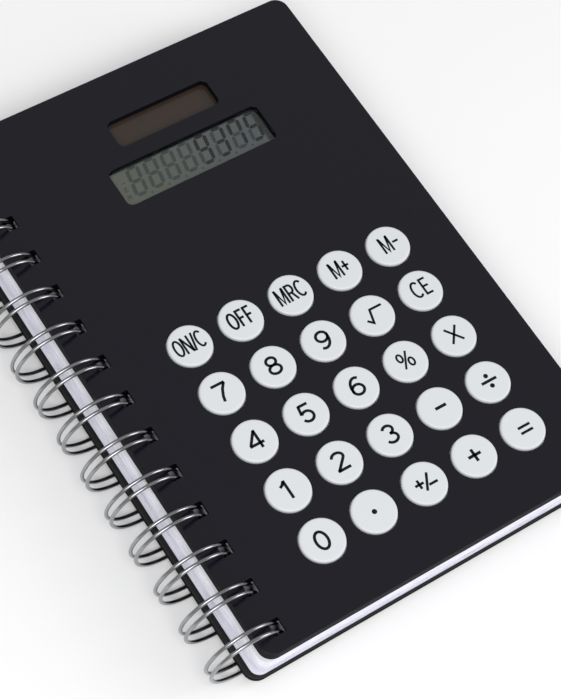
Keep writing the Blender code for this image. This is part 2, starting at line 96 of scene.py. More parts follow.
def deselect_all() -> None:
    """Leave object mode with nothing selected."""
    if bpy.context.object and bpy.context.object.mode != "OBJECT":
        bpy.ops.object.mode_set(mode="OBJECT")
    bpy.ops.object.select_all(action="DESELECT")


def activate(piece: bpy.types.Object) -> None:
    """Make one piece the only selected and active one."""
    deselect_all()
    piece.select_set(True)
    bpy.context.view_layer.objects.active = piece


def settle(piece: bpy.types.Object) -> bpy.types.Object:
    """Move a piece's place, turn and scale into its mesh.

    Args:
        piece: the object to settle.

    Returns:
        The same object, at the origin.
    """
    activate(piece)
    bpy.ops.object.transform_apply(location=True, rotation=True, scale=True)
    return piece


def block(name: str, low: Vector, high: Vector) -> bpy.types.Object:
    """Add a block between two corners, as a start for shaping.

    Args:
        name: the object's name.
        low: its lowest corner, in metres.
        high: its highest corner, in metres.

    Returns:
        The block.
    """
    deselect_all()
    bpy.ops.mesh.primitive_cube_add(size=1, location=(low + high) / 2)
    piece = bpy.context.object
    piece.name = name
    piece.scale = high - low
    return settle(piece)


def drum(name: str, centre: Vector, radius: float, height: float, sides: int) -> bpy.types.Object:
    """Add an upright drum that stands on a point, as a start for shaping.

    Args:
        name: the object's name.
        centre: the middle of its lower face.
        radius: its radius in metres.
        height: its height in metres.
        sides: the number of sides.

    Returns:
        The drum.
    """
    deselect_all()
    middle = centre + Vector((0, 0, height / 2))
    bpy.ops.mesh.primitive_cylinder_add(vertices=sides, radius=radius, depth=height, location=middle)
    piece = bpy.context.object
    piece.name = name
    return settle(piece)


def pick(piece: bpy.types.Object, kind: Element, test: Callable[[object], bool]) -> None:
    """Enter edit mode with only the faces or edges that pass a test selected.

    Args:
        piece: the object to edit.
        kind: whether faces or edges are selected.
        test: says whether a bmesh face or edge is wanted.
    """
    activate(piece)
    bpy.ops.object.mode_set(mode="EDIT")
    bpy.ops.mesh.select_mode(type=kind.value)
    bpy.ops.mesh.select_all(action="DESELECT")
    edit = bmesh.from_edit_mesh(piece.data)
    for item in edit.faces if kind is Element.FACE else edit.edges:
        item.select_set(test(item))
    bmesh.update_edit_mesh(piece.data)


def leave_edit() -> None:
    """Go back to object mode."""
    bpy.ops.object.mode_set(mode="OBJECT")


def upright(edge: bmesh.types.BMEdge) -> bool:
    """Say whether an edge runs up and down."""
    return abs((edge.verts[0].co - edge.verts[1].co).normalized().z) > ALIGNED


def facing(direction: Vector) -> Callable[[bmesh.types.BMFace], bool]:
    """Return a test for faces that look in a direction."""
    return lambda face: face.normal.dot(direction) > ALIGNED


def round_corners(piece: bpy.types.Object, radius: float, segments: int) -> None:
    """Bevel the upright edges, which rounds the corners of a block's outline.

    Args:
        piece: the object to edit.
        radius: the corner radius in metres.
        segments: the number of flats on each corner.
    """
    pick(piece, Element.EDGE, upright)
    bpy.ops.mesh.bevel(offset=radius, segments=segments, affect="EDGES", clamp_overlap=False)
    leave_edit()


def corners(node: str) -> tuple[Vector, Vector]:
    """Return the lowest and the highest corner of a CAD node."""
    low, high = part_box(node)
    return Vector(low), Vector(high)


def centre_of(node: str, level: float = 0.0) -> Vector:
    """Return the middle of a CAD node's outline, at a given height."""
    low, high = corners(node)
    return Vector(((low.x + high.x) / 2, (low.y + high.y) / 2, level))


def copy_to(piece: bpy.types.Object, name: str, shift: Vector) -> bpy.types.Object:
    """Copy a piece with its own mesh, moved by a distance that goes into the mesh.

    Args:
        piece: the object to copy.
        name: the copy's name.
        shift: how far it moves, in metres.

    Returns:
        The copy.
    """
    twin = piece.copy()
    twin.data = piece.data.copy()
    twin.name = name
    bpy.context.scene.collection.objects.link(twin)
    twin.data.transform(Matrix.Translation(shift))
    return twin


def joined(pieces: Sequence[bpy.types.Object], name: str) -> bpy.types.Object:
    """Join several objects into one.

    Args:
        pieces: the objects; the first one stays.
        name: the name of the result.

    Returns:
        The joined object.
    """
    deselect_all()
    for piece in pieces:
        piece.select_set(True)
    bpy.context.view_layer.objects.active = pieces[0]
    if len(pieces) > 1:
        bpy.ops.object.join()
    pieces[0].name = name
    return pieces[0]


def apply_modifier(piece: bpy.types.Object, kind: str, **settings: object) -> None:
    """Add a modifier, set it and apply it.

    Args:
        piece: the object.
        kind: the modifier's type.
        settings: the modifier's properties.
    """
    modifier = piece.modifiers.new(kind.title(), kind)
    for key, value in settings.items():
        setattr(modifier, key, value)
    activate(piece)
    bpy.ops.object.modifier_apply(modifier=modifier.name)


def cut_away(piece: bpy.types.Object, cutter: bpy.types.Object) -> None:
    """Cut one object out of another and remove the cutter."""
    apply_modifier(piece, "BOOLEAN", operation="DIFFERENCE", solver="EXACT", object=cutter)
    bpy.data.objects.remove(cutter, do_unlink=True)


def ease_edges(piece: bpy.types.Object, width: float, segments: int = 2) -> None:
    """Round off every sharp edge a little and let the large faces lead the shading.

    Args:
        piece: the object.
        width: the width of the rounding in metres.
        segments: the number of flats across it.
    """
    apply_modifier(piece, "BEVEL", width=width, segments=segments, limit_method="ANGLE",
                   angle_limit=math.radians(SHARP_ANGLE), use_clamp_overlap=True, miter_outer="MITER_ARC")
    shade(piece)
    apply_modifier(piece, "WEIGHTED_NORMAL", mode="FACE_AREA", weight=50, keep_sharp=True)


def shade(piece: bpy.types.Object, angle: float = SMOOTH_ANGLE) -> None:
    """Shade a piece smooth across edges up to an angle, in degrees."""
    activate(piece)
    bpy.ops.object.shade_smooth_by_angle(angle=math.radians(angle))


def plate(mesh: bmesh.types.BMesh, outline: Sequence[Vector], low: float, high: float) -> None:
    """Add a level plate to a mesh.

    Args:
        mesh: the mesh.
        outline: the plate's points, in order; their heights aren't used.
        low: the height of its lower face.
        high: the height of its upper face.
    """
    lower = [mesh.verts.new((point.x, point.y, low)) for point in outline]
    upper = [mesh.verts.new((point.x, point.y, high)) for point in outline]
    mesh.faces.new(lower[::-1])
    mesh.faces.new(upper)
    for i in range(len(outline)):
        mesh.faces.new((lower[i - 1], lower[i], upper[i], upper[i - 1]))


def from_mesh(mesh: bmesh.types.BMesh, name: str) -> bpy.types.Object:
    """Turn a finished mesh into an object.

    Args:
        mesh: the mesh, which is freed.
        name: the object's name.

    Returns:
        The object.
    """
    bmesh.ops.recalc_face_normals(mesh, faces=mesh.faces)
    data = bpy.data.meshes.new(name)
    mesh.to_mesh(data)
    mesh.free()
    piece = bpy.data.objects.new(name, data)
    bpy.context.scene.collection.objects.link(piece)
    return piece


def dress(piece: bpy.types.Object, finish: "Finish") -> None:
    """Give a piece one finish in its first slot."""
    piece.data.materials.clear()
    piece.data.materials.append(finish.material())


def dress_sides(piece: bpy.types.Object, finish: "Finish", level: float = 0.9) -> None:
    """Give the faces that stand up or lean a finish of their own, in a second slot.

    Args:
        piece: a dressed object.
        finish: the finish of its sides.
        level: the least upright part of the normal of a face that counts as level.
    """
    piece.data.materials.append(finish.material())
    for face in piece.data.polygons:
        face.material_index = int(abs(face.normal.z) < level)


def install(piece: bpy.types.Object, body: str, finish: "Finish", stands_for: Sequence[str] = ()) -> None:
    """Dress a finished piece, hang it on its body and report it.

    Args:
        piece: the finished object.
        body: the CAD body that it moves with.
        finish: its finish.
        stands_for: the CAD nodes that it replaces.
    """
    dress(piece, finish)
    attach(piece, body)
    if stands_for:
        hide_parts(*stands_for)
    LOG.info("%s: %d faces on %s", piece.name, len(piece.data.polygons), body)


# ---------------------------------------------------------------- finishes
def linear(colour: str) -> tuple[float, float, float, float]:
    """Turn an sRGB hex colour such as "#26262A" into a linear colour with alpha 1."""
    parts = [int(colour[i:i + 2], 16) / 255 for i in (1, 3, 5)]
    return tuple(p / 12.92 if p <= 0.04045 else ((p + 0.055) / 1.055) ** 2.4 for p in parts) + (1.0,)


def add_node(tree: bpy.types.NodeTree, kind: str, settings: dict | None = None,
             inputs: dict | None = None) -> bpy.types.Node:
    """Add a shader node with its settings, and fill or link its sockets.

    Args:
        tree: the material's node tree.
        kind: the node's type.
        settings: its properties by name.
        inputs: values, or sockets to link from, by socket name or number.

    Returns:
        The node.
    """
    node = tree.nodes.new(kind)
    for name, value in (settings or {}).items():
        setattr(node, name, value)
    for socket, value in (inputs or {}).items():
        if isinstance(value, bpy.types.NodeSocket):
            tree.links.new(value, node.inputs[socket])
        else:
            node.inputs[socket].default_value = value
    return node


def set_stops(ramp: bpy.types.Node, stops: Iterable[tuple[float, str]]) -> None:
    """Set a colour ramp's stops from pairs of place and hex colour."""
    elements = ramp.color_ramp.elements
    for index, (place, colour) in enumerate(stops):
        element = elements[index] if index < len(elements) else elements.new(place)
        element.position = place
        element.color = linear(colour)


@dataclass(frozen=True)
class Finish:
    """A surface: its base values and a fine grain in its height, gloss and colour."""

    name: str
    colour: str
    roughness: float
    ior: float = 1.5
    metallic: float = 0.0
    specular: float = 0.5
    grain_mm: float = 0.5
    grain_height: float = 0.1
    shade_range: float = 0.06
    gloss_range: float = 0.08
    bump_depth: float = 0.05 * MM

    def material(self) -> bpy.types.Material:
        """Return the Blender material, made at the first call.

        Returns:
            The material.
        """
        known = bpy.data.materials.get(self.name)
        if known:
            return known
        made = bpy.data.materials.new(self.name)
        made.use_nodes = True
        tree = made.node_tree
        shader = tree.nodes["Principled BSDF"]
        shader.inputs["Base Color"].default_value = linear(self.colour)
        shader.inputs["Roughness"].default_value = self.roughness
        shader.inputs["Metallic"].default_value = self.metallic
        shader.inputs["Specular IOR Level"].default_value = self.specular
        if not self.metallic:
            shader.inputs["IOR"].default_value = self.ior
        place = add_node(tree, "ShaderNodeTexCoord").outputs["Object"]
        self.pattern(tree, shader, place)
        return made

    def colour_field(self, tree: bpy.types.NodeTree, place: bpy.types.NodeSocket) -> bpy.types.NodeSocket:
        """Return the socket of the colour before the grain shades it.

        Args:
            tree: the node tree.
            place: the object coordinates.

        Returns:
            A colour socket.
        """
        plain = add_node(tree, "ShaderNodeRGB")
        plain.outputs[0].default_value = linear(self.colour)
        return plain.outputs[0]

    def pattern(self, tree: bpy.types.NodeTree, shader: bpy.types.Node, place: bpy.types.NodeSocket) -> None:
        """Join the grain to the shader's colour, roughness and normal.

        Args:
            tree: the node tree.
            shader: the Principled shader.
            place: the object coordinates.
        """
        grain = add_node(tree, "ShaderNodeTexNoise", inputs={
            "Vector": place, "Scale": 1 / (self.grain_mm * MM), "Detail": 3, "Roughness": 0.6})
        tone = add_node(tree, "ShaderNodeMapRange", inputs={
            "Value": grain.outputs["Fac"], "To Min": 1 - self.shade_range, "To Max": 1 + self.shade_range})
        colour = add_node(tree, "ShaderNodeVectorMath", {"operation": "SCALE"}, {
            0: self.colour_field(tree, place), "Scale": tone.outputs["Result"]})
        gloss = add_node(tree, "ShaderNodeMapRange", inputs={
            "Value": grain.outputs["Fac"], "To Min": self.roughness - self.gloss_range,
            "To Max": self.roughness + self.gloss_range})
        bump = add_node(tree, "ShaderNodeBump", inputs={
            "Height": grain.outputs["Fac"], "Strength": self.grain_height, "Distance": self.bump_depth})
        tree.links.new(colour.outputs["Vector"], shader.inputs["Base Color"])
        tree.links.new(gloss.outputs["Result"], shader.inputs["Roughness"])
        tree.links.new(bump.outputs["Normal"], shader.inputs["Normal"])


def flatness(tree: bpy.types.NodeTree) -> bpy.types.NodeSocket:
    """Return a socket that is 1 on the piece's level faces and 0 on its upright sides.

    Args:
        tree: the node tree.

    Returns:
        A value socket.
    """
    normal = add_node(tree, "ShaderNodeNewGeometry").outputs["True Normal"]
    own = add_node(tree, "ShaderNodeVectorTransform", {
        "vector_type": "NORMAL", "convert_from": "WORLD", "convert_to": "OBJECT"}, {0: normal})
    parts = add_node(tree, "ShaderNodeSeparateXYZ", inputs={0: own.outputs[0]})
    return add_node(tree, "ShaderNodeMath", {"operation": "ABSOLUTE"}, {0: parts.outputs["Z"]}).outputs[0]


@dataclass(frozen=True)
class RuledPaper(Finish):
    """Uncoated paper: faint blue rules on its faces, and cooler, streaky cut edges; the streaks are partly
    the sheets' layering and partly painted shade for the loops' shadows.

    The rules run between first_rule and last_rule along Y and start at the margin in X. streaks is how
    many streaks there are to a millimetre along each axis of the cut edges.
    """

    rule_colour: str = "#9FB0CC"
    edge_colour: str = "#F8F8FF"
    edge_shadow: str = "#C6C6DA"
    rule_pitch: float = 7.1 * MM
    rule_width: float = 0.25 * MM
    first_rule: float = -76.0 * MM
    last_rule: float = 66.0 * MM
    margin: float = -36.0 * MM
    streaks: tuple[float, float, float] = (0.10, 0.10, 0.8)

    def colour_field(self, tree: bpy.types.NodeTree, place: bpy.types.NodeSocket) -> bpy.types.NodeSocket:
        """Return white paper with rules on its faces and a cooler tone on its edges.

        Args:
            tree: the node tree.
            place: the object coordinates.

        Returns:
            A colour socket.
        """
        parts = add_node(tree, "ShaderNodeSeparateXYZ", inputs={0: place})
        height = parts.outputs["Y"]
        wrapped = add_node(tree, "ShaderNodeMath", {"operation": "PINGPONG"}, {
            0: height, 1: self.rule_pitch / 2})
        ruled = add_node(tree, "ShaderNodeMath", {"operation": "LESS_THAN"}, {
            0: wrapped.outputs[0], 1: self.rule_width / 2})
        limits = (("GREATER_THAN", height, self.first_rule), ("LESS_THAN", height, self.last_rule),
                  ("GREATER_THAN", parts.outputs["X"], self.margin))
        for side, value, limit in limits:
            gate = add_node(tree, "ShaderNodeMath", {"operation": side}, {0: value, 1: limit})
            ruled = add_node(tree, "ShaderNodeMath", {"operation": "MULTIPLY"}, {
                0: ruled.outputs[0], 1: gate.outputs[0]})
        page = add_node(tree, "ShaderNodeMix", {"data_type": "RGBA"}, {
            "Factor": ruled.outputs[0], 6: linear(self.colour), 7: linear(self.rule_colour)})
        # The streaks on the cut edges: partly the sheets' layering, partly painted shade standing in for the
        # loops' shadows.
        drawn = add_node(tree, "ShaderNodeMapping", {"vector_type": "POINT"}, {
            "Vector": place, "Scale": self.streaks})
        edge_layers_and_loop_shadows = add_node(tree, "ShaderNodeTexNoise", inputs={
            "Vector": drawn.outputs[0], "Scale": 1 / MM, "Detail": 5, "Roughness": 0.65})
        edge = add_node(tree, "ShaderNodeValToRGB", inputs={"Fac": edge_layers_and_loop_shadows.outputs["Fac"]})
        set_stops(edge, ((0.35, self.edge_shadow), (0.62, self.edge_colour)))
        whole = add_node(tree, "ShaderNodeMix", {"data_type": "RGBA"}, {
            "Factor": flatness(tree), 6: edge.outputs["Color"], 7: page.outputs[2]})
        return whole.outputs[2]


@dataclass(frozen=True)
class DisplayGlass(Finish):
    """Twisted-nematic glass over a reflector: grey-green, with painted reflection that turns it cooler to
    the right and painted shadow along its top and right edges, where the window's walls shade it.

    The colour turns from colour to painted_reflection_colour between near_end and far_end in X. The painted
    shadow begins at shadow_start in X and at shadow_foot in Y.
    """

    # The cooler, darker right end of the glass is painted reflection.
    painted_reflection_colour: str = "#5E676E"
    near_end: float = -20 * MM
    far_end: float = 40 * MM
    # The dark band along the top and right edges is painted shadow, cast by the window's walls.
    painted_shadow_colour: str = "#23282A"
    shadow_start: float = 35.2 * MM
    shadow_foot: float = 57.9 * MM
    seal_blur: float = 0.8 * MM

    def colour_field(self, tree: bpy.types.NodeTree, place: bpy.types.NodeSocket) -> bpy.types.NodeSocket:
        """Return the green of the cell, with painted reflection turning it cooler along the glass and
        painted shadow along its top and right edges.

        Args:
            tree: the node tree.
            place: the object coordinates.

        Returns:
            A colour socket.
        """
        parts = add_node(tree, "ShaderNodeSeparateXYZ", inputs={0: place})
        # Painted reflection: the glass turns cooler and darker towards its right end.
        sweep = add_node(tree, "ShaderNodeMapRange", inputs={
            "Value": parts.outputs["X"], "From Min": self.near_end, "From Max": self.far_end})
        cooler = add_node(tree, "ShaderNodeMix", {"data_type": "RGBA"}, {
            "Factor": sweep.outputs["Result"], 6: linear(self.colour), 7: linear(self.painted_reflection_colour)})
        # Painted shadow: darken the glass along its top and right edges, where the window's walls shade it.
        edges = [add_node(tree, "ShaderNodeMapRange", inputs={
            "Value": parts.outputs[axis], "From Min": start, "From Max": start + self.seal_blur})
            for axis, start in (("X", self.shadow_start), ("Y", self.shadow_foot))]
        painted_shadow_mask = add_node(tree, "ShaderNodeMath", {"operation": "MAXIMUM"}, {
            0: edges[0].outputs["Result"], 1: edges[1].outputs["Result"]})
        with_painted_shadow = add_node(tree, "ShaderNodeMix", {"data_type": "RGBA"}, {
            "Factor": painted_shadow_mask.outputs[0], 6: cooler.outputs[2], 7: linear(self.painted_shadow_colour)})
        return with_painted_shadow.outputs[2]


@dataclass(frozen=True)
class SolarFilm(Finish):
    """Amorphous silicon behind glass: brown-black, with fine laser-scribed gaps between its cells."""

    gap_colour: str = "#3A302A"
    cell_width: float = 9.3 * MM
    gap_width: float = 0.12 * MM

    def colour_field(self, tree: bpy.types.NodeTree, place: bpy.types.NodeSocket) -> bpy.types.NodeSocket:
        """Return brown silicon with a dark gap between cells.

        Args:
            tree: the node tree.
            place: the object coordinates.

        Returns:
            A colour socket.
        """
        parts = add_node(tree, "ShaderNodeSeparateXYZ", inputs={0: place})
        wrapped = add_node(tree, "ShaderNodeMath", {"operation": "PINGPONG"}, {
            0: parts.outputs["X"], 1: self.cell_width / 2})
        gap = add_node(tree, "ShaderNodeMath", {"operation": "LESS_THAN"}, {
            0: wrapped.outputs[0], 1: self.gap_width / 2})
        mixed = add_node(tree, "ShaderNodeMix", {"data_type": "RGBA"}, {
            "Factor": gap.outputs[0], 6: linear(self.colour), 7: linear(self.gap_colour)})
        return mixed.outputs[2]


@dataclass(frozen=True)
class ClearSheet(Finish):
    """Clear cast acrylic: light goes straight through, and its faces keep a polished gloss."""

    bump_depth: float = 0.02 * MM

    def pattern(self, tree: bpy.types.NodeTree, shader: bpy.types.Node, place: bpy.types.NodeSocket) -> None:
        """Let light through, with a faint wave in the polish.

        Args:
            tree: the node tree.
            shader: the Principled shader.
            place: the object coordinates.
        """
        shader.inputs["Transmission Weight"].default_value = 1.0
        wave = add_node(tree, "ShaderNodeTexNoise", inputs={
            "Vector": place, "Scale": 1 / (self.grain_mm * MM), "Detail": 1})
        bump = add_node(tree, "ShaderNodeBump", inputs={
            "Height": wave.outputs["Fac"], "Strength": self.grain_height, "Distance": self.bump_depth})
        tree.links.new(bump.outputs["Normal"], shader.inputs["Normal"])


# Moulded ABS from a polished tool: a satin-gloss face, near black.
COVER_ABS = Finish("Moulded ABS, satin black", "#0B0915", 0.21, 1.53, specular=0.4, grain_mm=0.35,
                   grain_height=0.02, gloss_range=0.03)
# The same ABS on its walls, as a shaded copy: its gloss turned down so the walls read dark, as in shade.
COVER_ABS_SHADED_SIDES = Finish("Moulded ABS, black, dulled for shade", "#0E0D13", 0.6, 1.53, specular=0.06, grain_mm=0.35,
                        grain_height=0.06)
# Injection-moulded white ABS, smooth and a little soft in its gloss.
KEY_ABS = Finish("Moulded ABS, satin white", "#D9DDE0", 0.42, 1.53, grain_mm=0.6, grain_height=0.05,
                 shade_range=0.01)
# Pad-printed ink: flat black, its edge crisp, its face a shade duller than the key.
KEY_INK = Finish("Pad-printed ink, black", "#0A0A0C", 0.55, 1.5, specular=0.2, grain_mm=0.2,
                 grain_height=0.1)
# Nickel-plated spring wire: bright, with the fine marks of drawing.
WIRE_STEEL = Finish("Nickel-plated steel wire, drawn", "#A0A1A4", 0.2, metallic=1.0, grain_mm=0.3,
                    grain_height=0.06, shade_range=0.04, gloss_range=0.05)
# Uncoated writing paper, guillotined: soft white faces, cool edges.
PAGE_PAPER = RuledPaper("Uncoated paper, ruled and guillotined", "#EFEFF4", 0.85, 1.45, grain_mm=0.25,
                        grain_height=0.25, shade_range=0.03)
# Painted shade: the lower half's edges are a tone darker, as they lie in shade under the upper half.
SHADED_LOWER_PAPER = replace(PAGE_PAPER, name="Uncoated paper, ruled, edges in painted shade", edge_colour="#D6D6E8",
                      edge_shadow="#A0A0BA")
# Greyboard wrapped in a black laminate with a fine linen emboss.
BACK_BOARD = Finish("Laminated board, embossed black", "#141416", 0.5, 1.5, grain_mm=0.5,
                    grain_height=0.3, shade_range=0.12)
# The board's cut edge, inked black, as a shaded copy: hardly any gloss, so the edge reads dark as in shade.
BOARD_SHADED_EDGE = Finish("Cut greyboard, inked black, dulled for shade", "#121214", 0.8, 1.5, specular=0.06, grain_mm=0.3,
                    grain_height=0.4, shade_range=0.15)
# Display glass under its polariser: a dull grey-green with hardly any gloss of its own; its cooler right end
# is painted reflection and its dark top and right edges are painted shadow.
LCD_GLASS = DisplayGlass("Display glass, polarised", "#727768", 0.35, 1.52, specular=0.05, grain_mm=0.3,
                         grain_height=0.02, shade_range=0.03)
# Liquid crystal turned dark, seen through the polariser.
LCD_DARK = Finish("Liquid crystal, driven dark", "#030A05", 0.4, 1.52, specular=0.05,
                  grain_mm=0.4, grain_height=0.02)
# The same segments at rest, which still show faintly, with the glass's painted reflection and painted
# shadow.
LCD_GHOST = DisplayGlass("Liquid crystal, at rest", "#474F44", 0.4, 1.52, specular=0.05, grain_mm=0.4,
                         grain_height=0.02, painted_reflection_colour="#394148")
# Silicon film on the back of glass: brown-black, even, its scribed gaps only just seen.
SOLAR_SILICON = SolarFilm("Amorphous silicon on glass", "#352B24", 0.25, 1.52, grain_mm=1.5,
                          grain_height=0.02, shade_range=0.05)
# Clear cast acrylic, polished: what is under it shows, with a faint gloss on top.
LENS_ACRYLIC = ClearSheet("Cast acrylic, clear", "#FFFFFF", 0.03, 1.49, specular=0.25, grain_mm=20.0,
                          grain_height=0.02)
# Sprung brass with a thin bright plating.
CONTACT_BRASS = Finish("Nickel-plated brass strip, bent", "#C8C1AE", 0.3, metallic=1.0, grain_mm=0.3)

# Background paper, dull white.
FLOOR_PAPER = Finish("Seamless paper, white", "#F8F8F8", 0.9, grain_mm=5.0, grain_height=0.0,
                     shade_range=0.0, gloss_range=0.0)

# The nodes that keep their CAD shape.
CAD_FINISHES: dict[str, Finish] = {
    "solar_cell": SOLAR_SILICON,
    "display_lens": LENS_ACRYLIC,
    "lcd_front_glass": LCD_GLASS,
    # Polystyrene with a coarser moulded grain than the cover's face.
    "cover_back_plate": Finish("Moulded polystyrene, textured black", "#1D1D20", 0.55, 1.59, grain_mm=0.6,
                               grain_height=0.5, shade_range=0.15),
    "battery_door": Finish("Moulded polystyrene, fine black", "#202024", 0.5, 1.59, grain_mm=0.4,
                           grain_height=0.3, shade_range=0.12),
    "keypad_mat": Finish("Silicone rubber, moulded grey", "#7C7F82", 0.75, 1.41, grain_mm=0.8,
                         grain_height=0.2),
    "circuit_board": Finish("Glass-epoxy laminate, solder mask", "#1C5B38", 0.35, 1.55, grain_mm=1.2,
                            grain_height=0.3, shade_range=0.2),
    "lcd_rear_glass": Finish("Soda-lime glass with reflector", "#8B918A", 0.3, 1.52, grain_mm=0.5,
                             grain_height=0.05),
    "lcd_ribbon": Finish("Polyester film, carbon printed", "#A06E33", 0.4, 1.6, grain_mm=0.6,
                         grain_height=0.2, shade_range=0.25),
    "solar_lead_positive": Finish("PVC insulation, red", "#8C1418", 0.45, 1.53, grain_mm=0.3),
    "solar_lead_negative": Finish("PVC insulation, black", "#17171A", 0.45, 1.53, grain_mm=0.3),
    "button_cell": Finish("Nickel-plated steel can, pressed", "#BDBDBB", 0.28, metallic=1.0, grain_mm=0.4),
    "negative_contact": CONTACT_BRASS,
    "positive_contact": CONTACT_BRASS,
    "processor_chip": Finish("Epoxy resin, cast black", "#101011", 0.3, 1.56, grain_mm=1.0,
                             grain_height=0.1),
    "supply_capacitor": Finish("Fired ceramic, tan", "#A5835A", 0.5, 1.6, grain_mm=0.3, shade_range=0.12),
}
# Screw steel blackened with zinc: a dark metal with a soft gloss.
SCREW_STEEL = Finish("Black-zinc steel, machined", "#808085", 0.34, metallic=1.0, grain_mm=0.2,
                     grain_height=0.2, shade_range=0.12)


# ---------------------------------------------------------------- binding
@dataclass
class Binding:
    """The wire comb: twin loops, joined by straight links along the seam."""

    wire_radius: float = 0.55 * MM
    leg_spacing: float = 2.7 * MM
    link_bend: float = 1.0 * MM
    pitch: float = 12.7 * MM
    count: int = 14
    base_angle: float = math.radians(-36.0)
    tip_angle: float = math.radians(316.5)
    arc_steps: int = 56
    bend_steps: int = 4
    tip_steps: int = 8
    smooth_angle: float = 60.0
    wire_rings: int = 3
    centre: Vector = field(default_factory=Vector)
    radius: float = 0.0

    def __post_init__(self) -> None:
        """Read the loops' axis and radius from the frame."""
        low, high = corners("binding_wire")
        self.radius = (high.z - low.z) / 2 - self.wire_radius
        self.centre = Vector((low.x + self.radius + self.wire_radius, 0, (low.z + high.z) / 2))

    def loop_heights(self) -> list[float]:
        """Return the Y of each twin loop's middle."""
        return [(i - (self.count - 1) / 2) * self.pitch for i in range(self.count)]

    def slots(self, near: float, far: float, height: float, levels: Span,
              lean: float = 0.0) -> bpy.types.Object:
        """Return a cutter for the row of slots that the loops pass through.

        Args:
            near: the distance of the inner wall from the loop axis.
            far: the distance of the outer wall, at the lower level.
            height: the slot's length along the seam.
            levels: the lower and upper end of the cutter.
            lean: how far the outer wall comes in at the upper level.

        Returns:
            The cutter.
        """
        cutters = []
        for y in self.loop_heights():
            low = Vector((self.centre.x + near, y - height / 2, levels[0]))
            high = Vector((self.centre.x + far, y + height / 2, levels[1]))
            cutter = block("slot", low, high)
            if lean:
                corner = high - Vector((0, height / 2, 0))
                pick(cutter, Element.EDGE, lambda edge: all(
                    abs(v.co.x - corner.x) < TOUCH and abs(v.co.z - corner.z) < TOUCH
                    for v in edge.verts))
                bpy.ops.transform.translate(value=(-lean, 0, 0))
                leave_edit()
            cutters.append(cutter)
        return joined(cutters, "slots")

    def bend(self, y: float, side: int) -> list[Point]:
        """Return the bend between the link and a leg, as angle and Y, from link to leg.

        Args:
            y: the twin loop's middle.
            side: -1 for the lower leg, 1 for the upper one.

        Returns:
            The bend's points.
        """
        points = []
        for step in range(self.bend_steps + 1):
            turn = math.pi / 2 * step / self.bend_steps
            rise = self.link_bend * (1 - math.cos(turn))
            run = self.link_bend * (1 - math.sin(turn))
            points.append((self.base_angle + rise / self.radius, y + side * (self.leg_spacing / 2 + run)))
        return points

    def route(self) -> list[Point]:
        """Return the whole wire as angles round the axis and places along it."""
        half = self.leg_spacing / 2
        start = self.base_angle + self.link_bend / self.radius
        turn_start = self.tip_angle - half / self.radius
        leg = [start + (turn_start - start) * i / self.arc_steps for i in range(1, self.arc_steps)]
        path: list[Point] = []
        for y in self.loop_heights():
            path += self.bend(y, -1)
            path += [(angle, y - half) for angle in leg]
            for step in range(self.tip_steps + 1):
                turn = math.pi * step / self.tip_steps
                path.append((turn_start + half / self.radius * math.sin(turn), y - half * math.cos(turn)))
            path += [(angle, y + half) for angle in reversed(leg)]
            path += reversed(self.bend(y, 1))
        return path

    def build(self) -> None:
        """Sweep the wire and install it."""
        data = bpy.data.curves.new("binding_wire_fine", "CURVE")
        data.dimensions = "3D"
        data.bevel_depth = self.wire_radius
        data.bevel_resolution = self.wire_rings
        data.use_fill_caps = True
        path = self.route()
        spline = data.splines.new("POLY")
        spline.points.add(len(path) - 1)
        for point, (angle, y) in zip(spline.points, path):
            place = self.centre + Vector((math.cos(angle) * self.radius, y, math.sin(angle) * self.radius))
            point.co = (*place, 1)
        wire = bpy.data.objects.new("wire_comb", data)
        bpy.context.scene.collection.objects.link(wire)
        activate(wire)
        bpy.ops.object.convert(target="MESH")
        wire = bpy.context.object
        shade(wire, self.smooth_angle)
        install(wire, "back", WIRE_STEEL, ["binding_wire"])


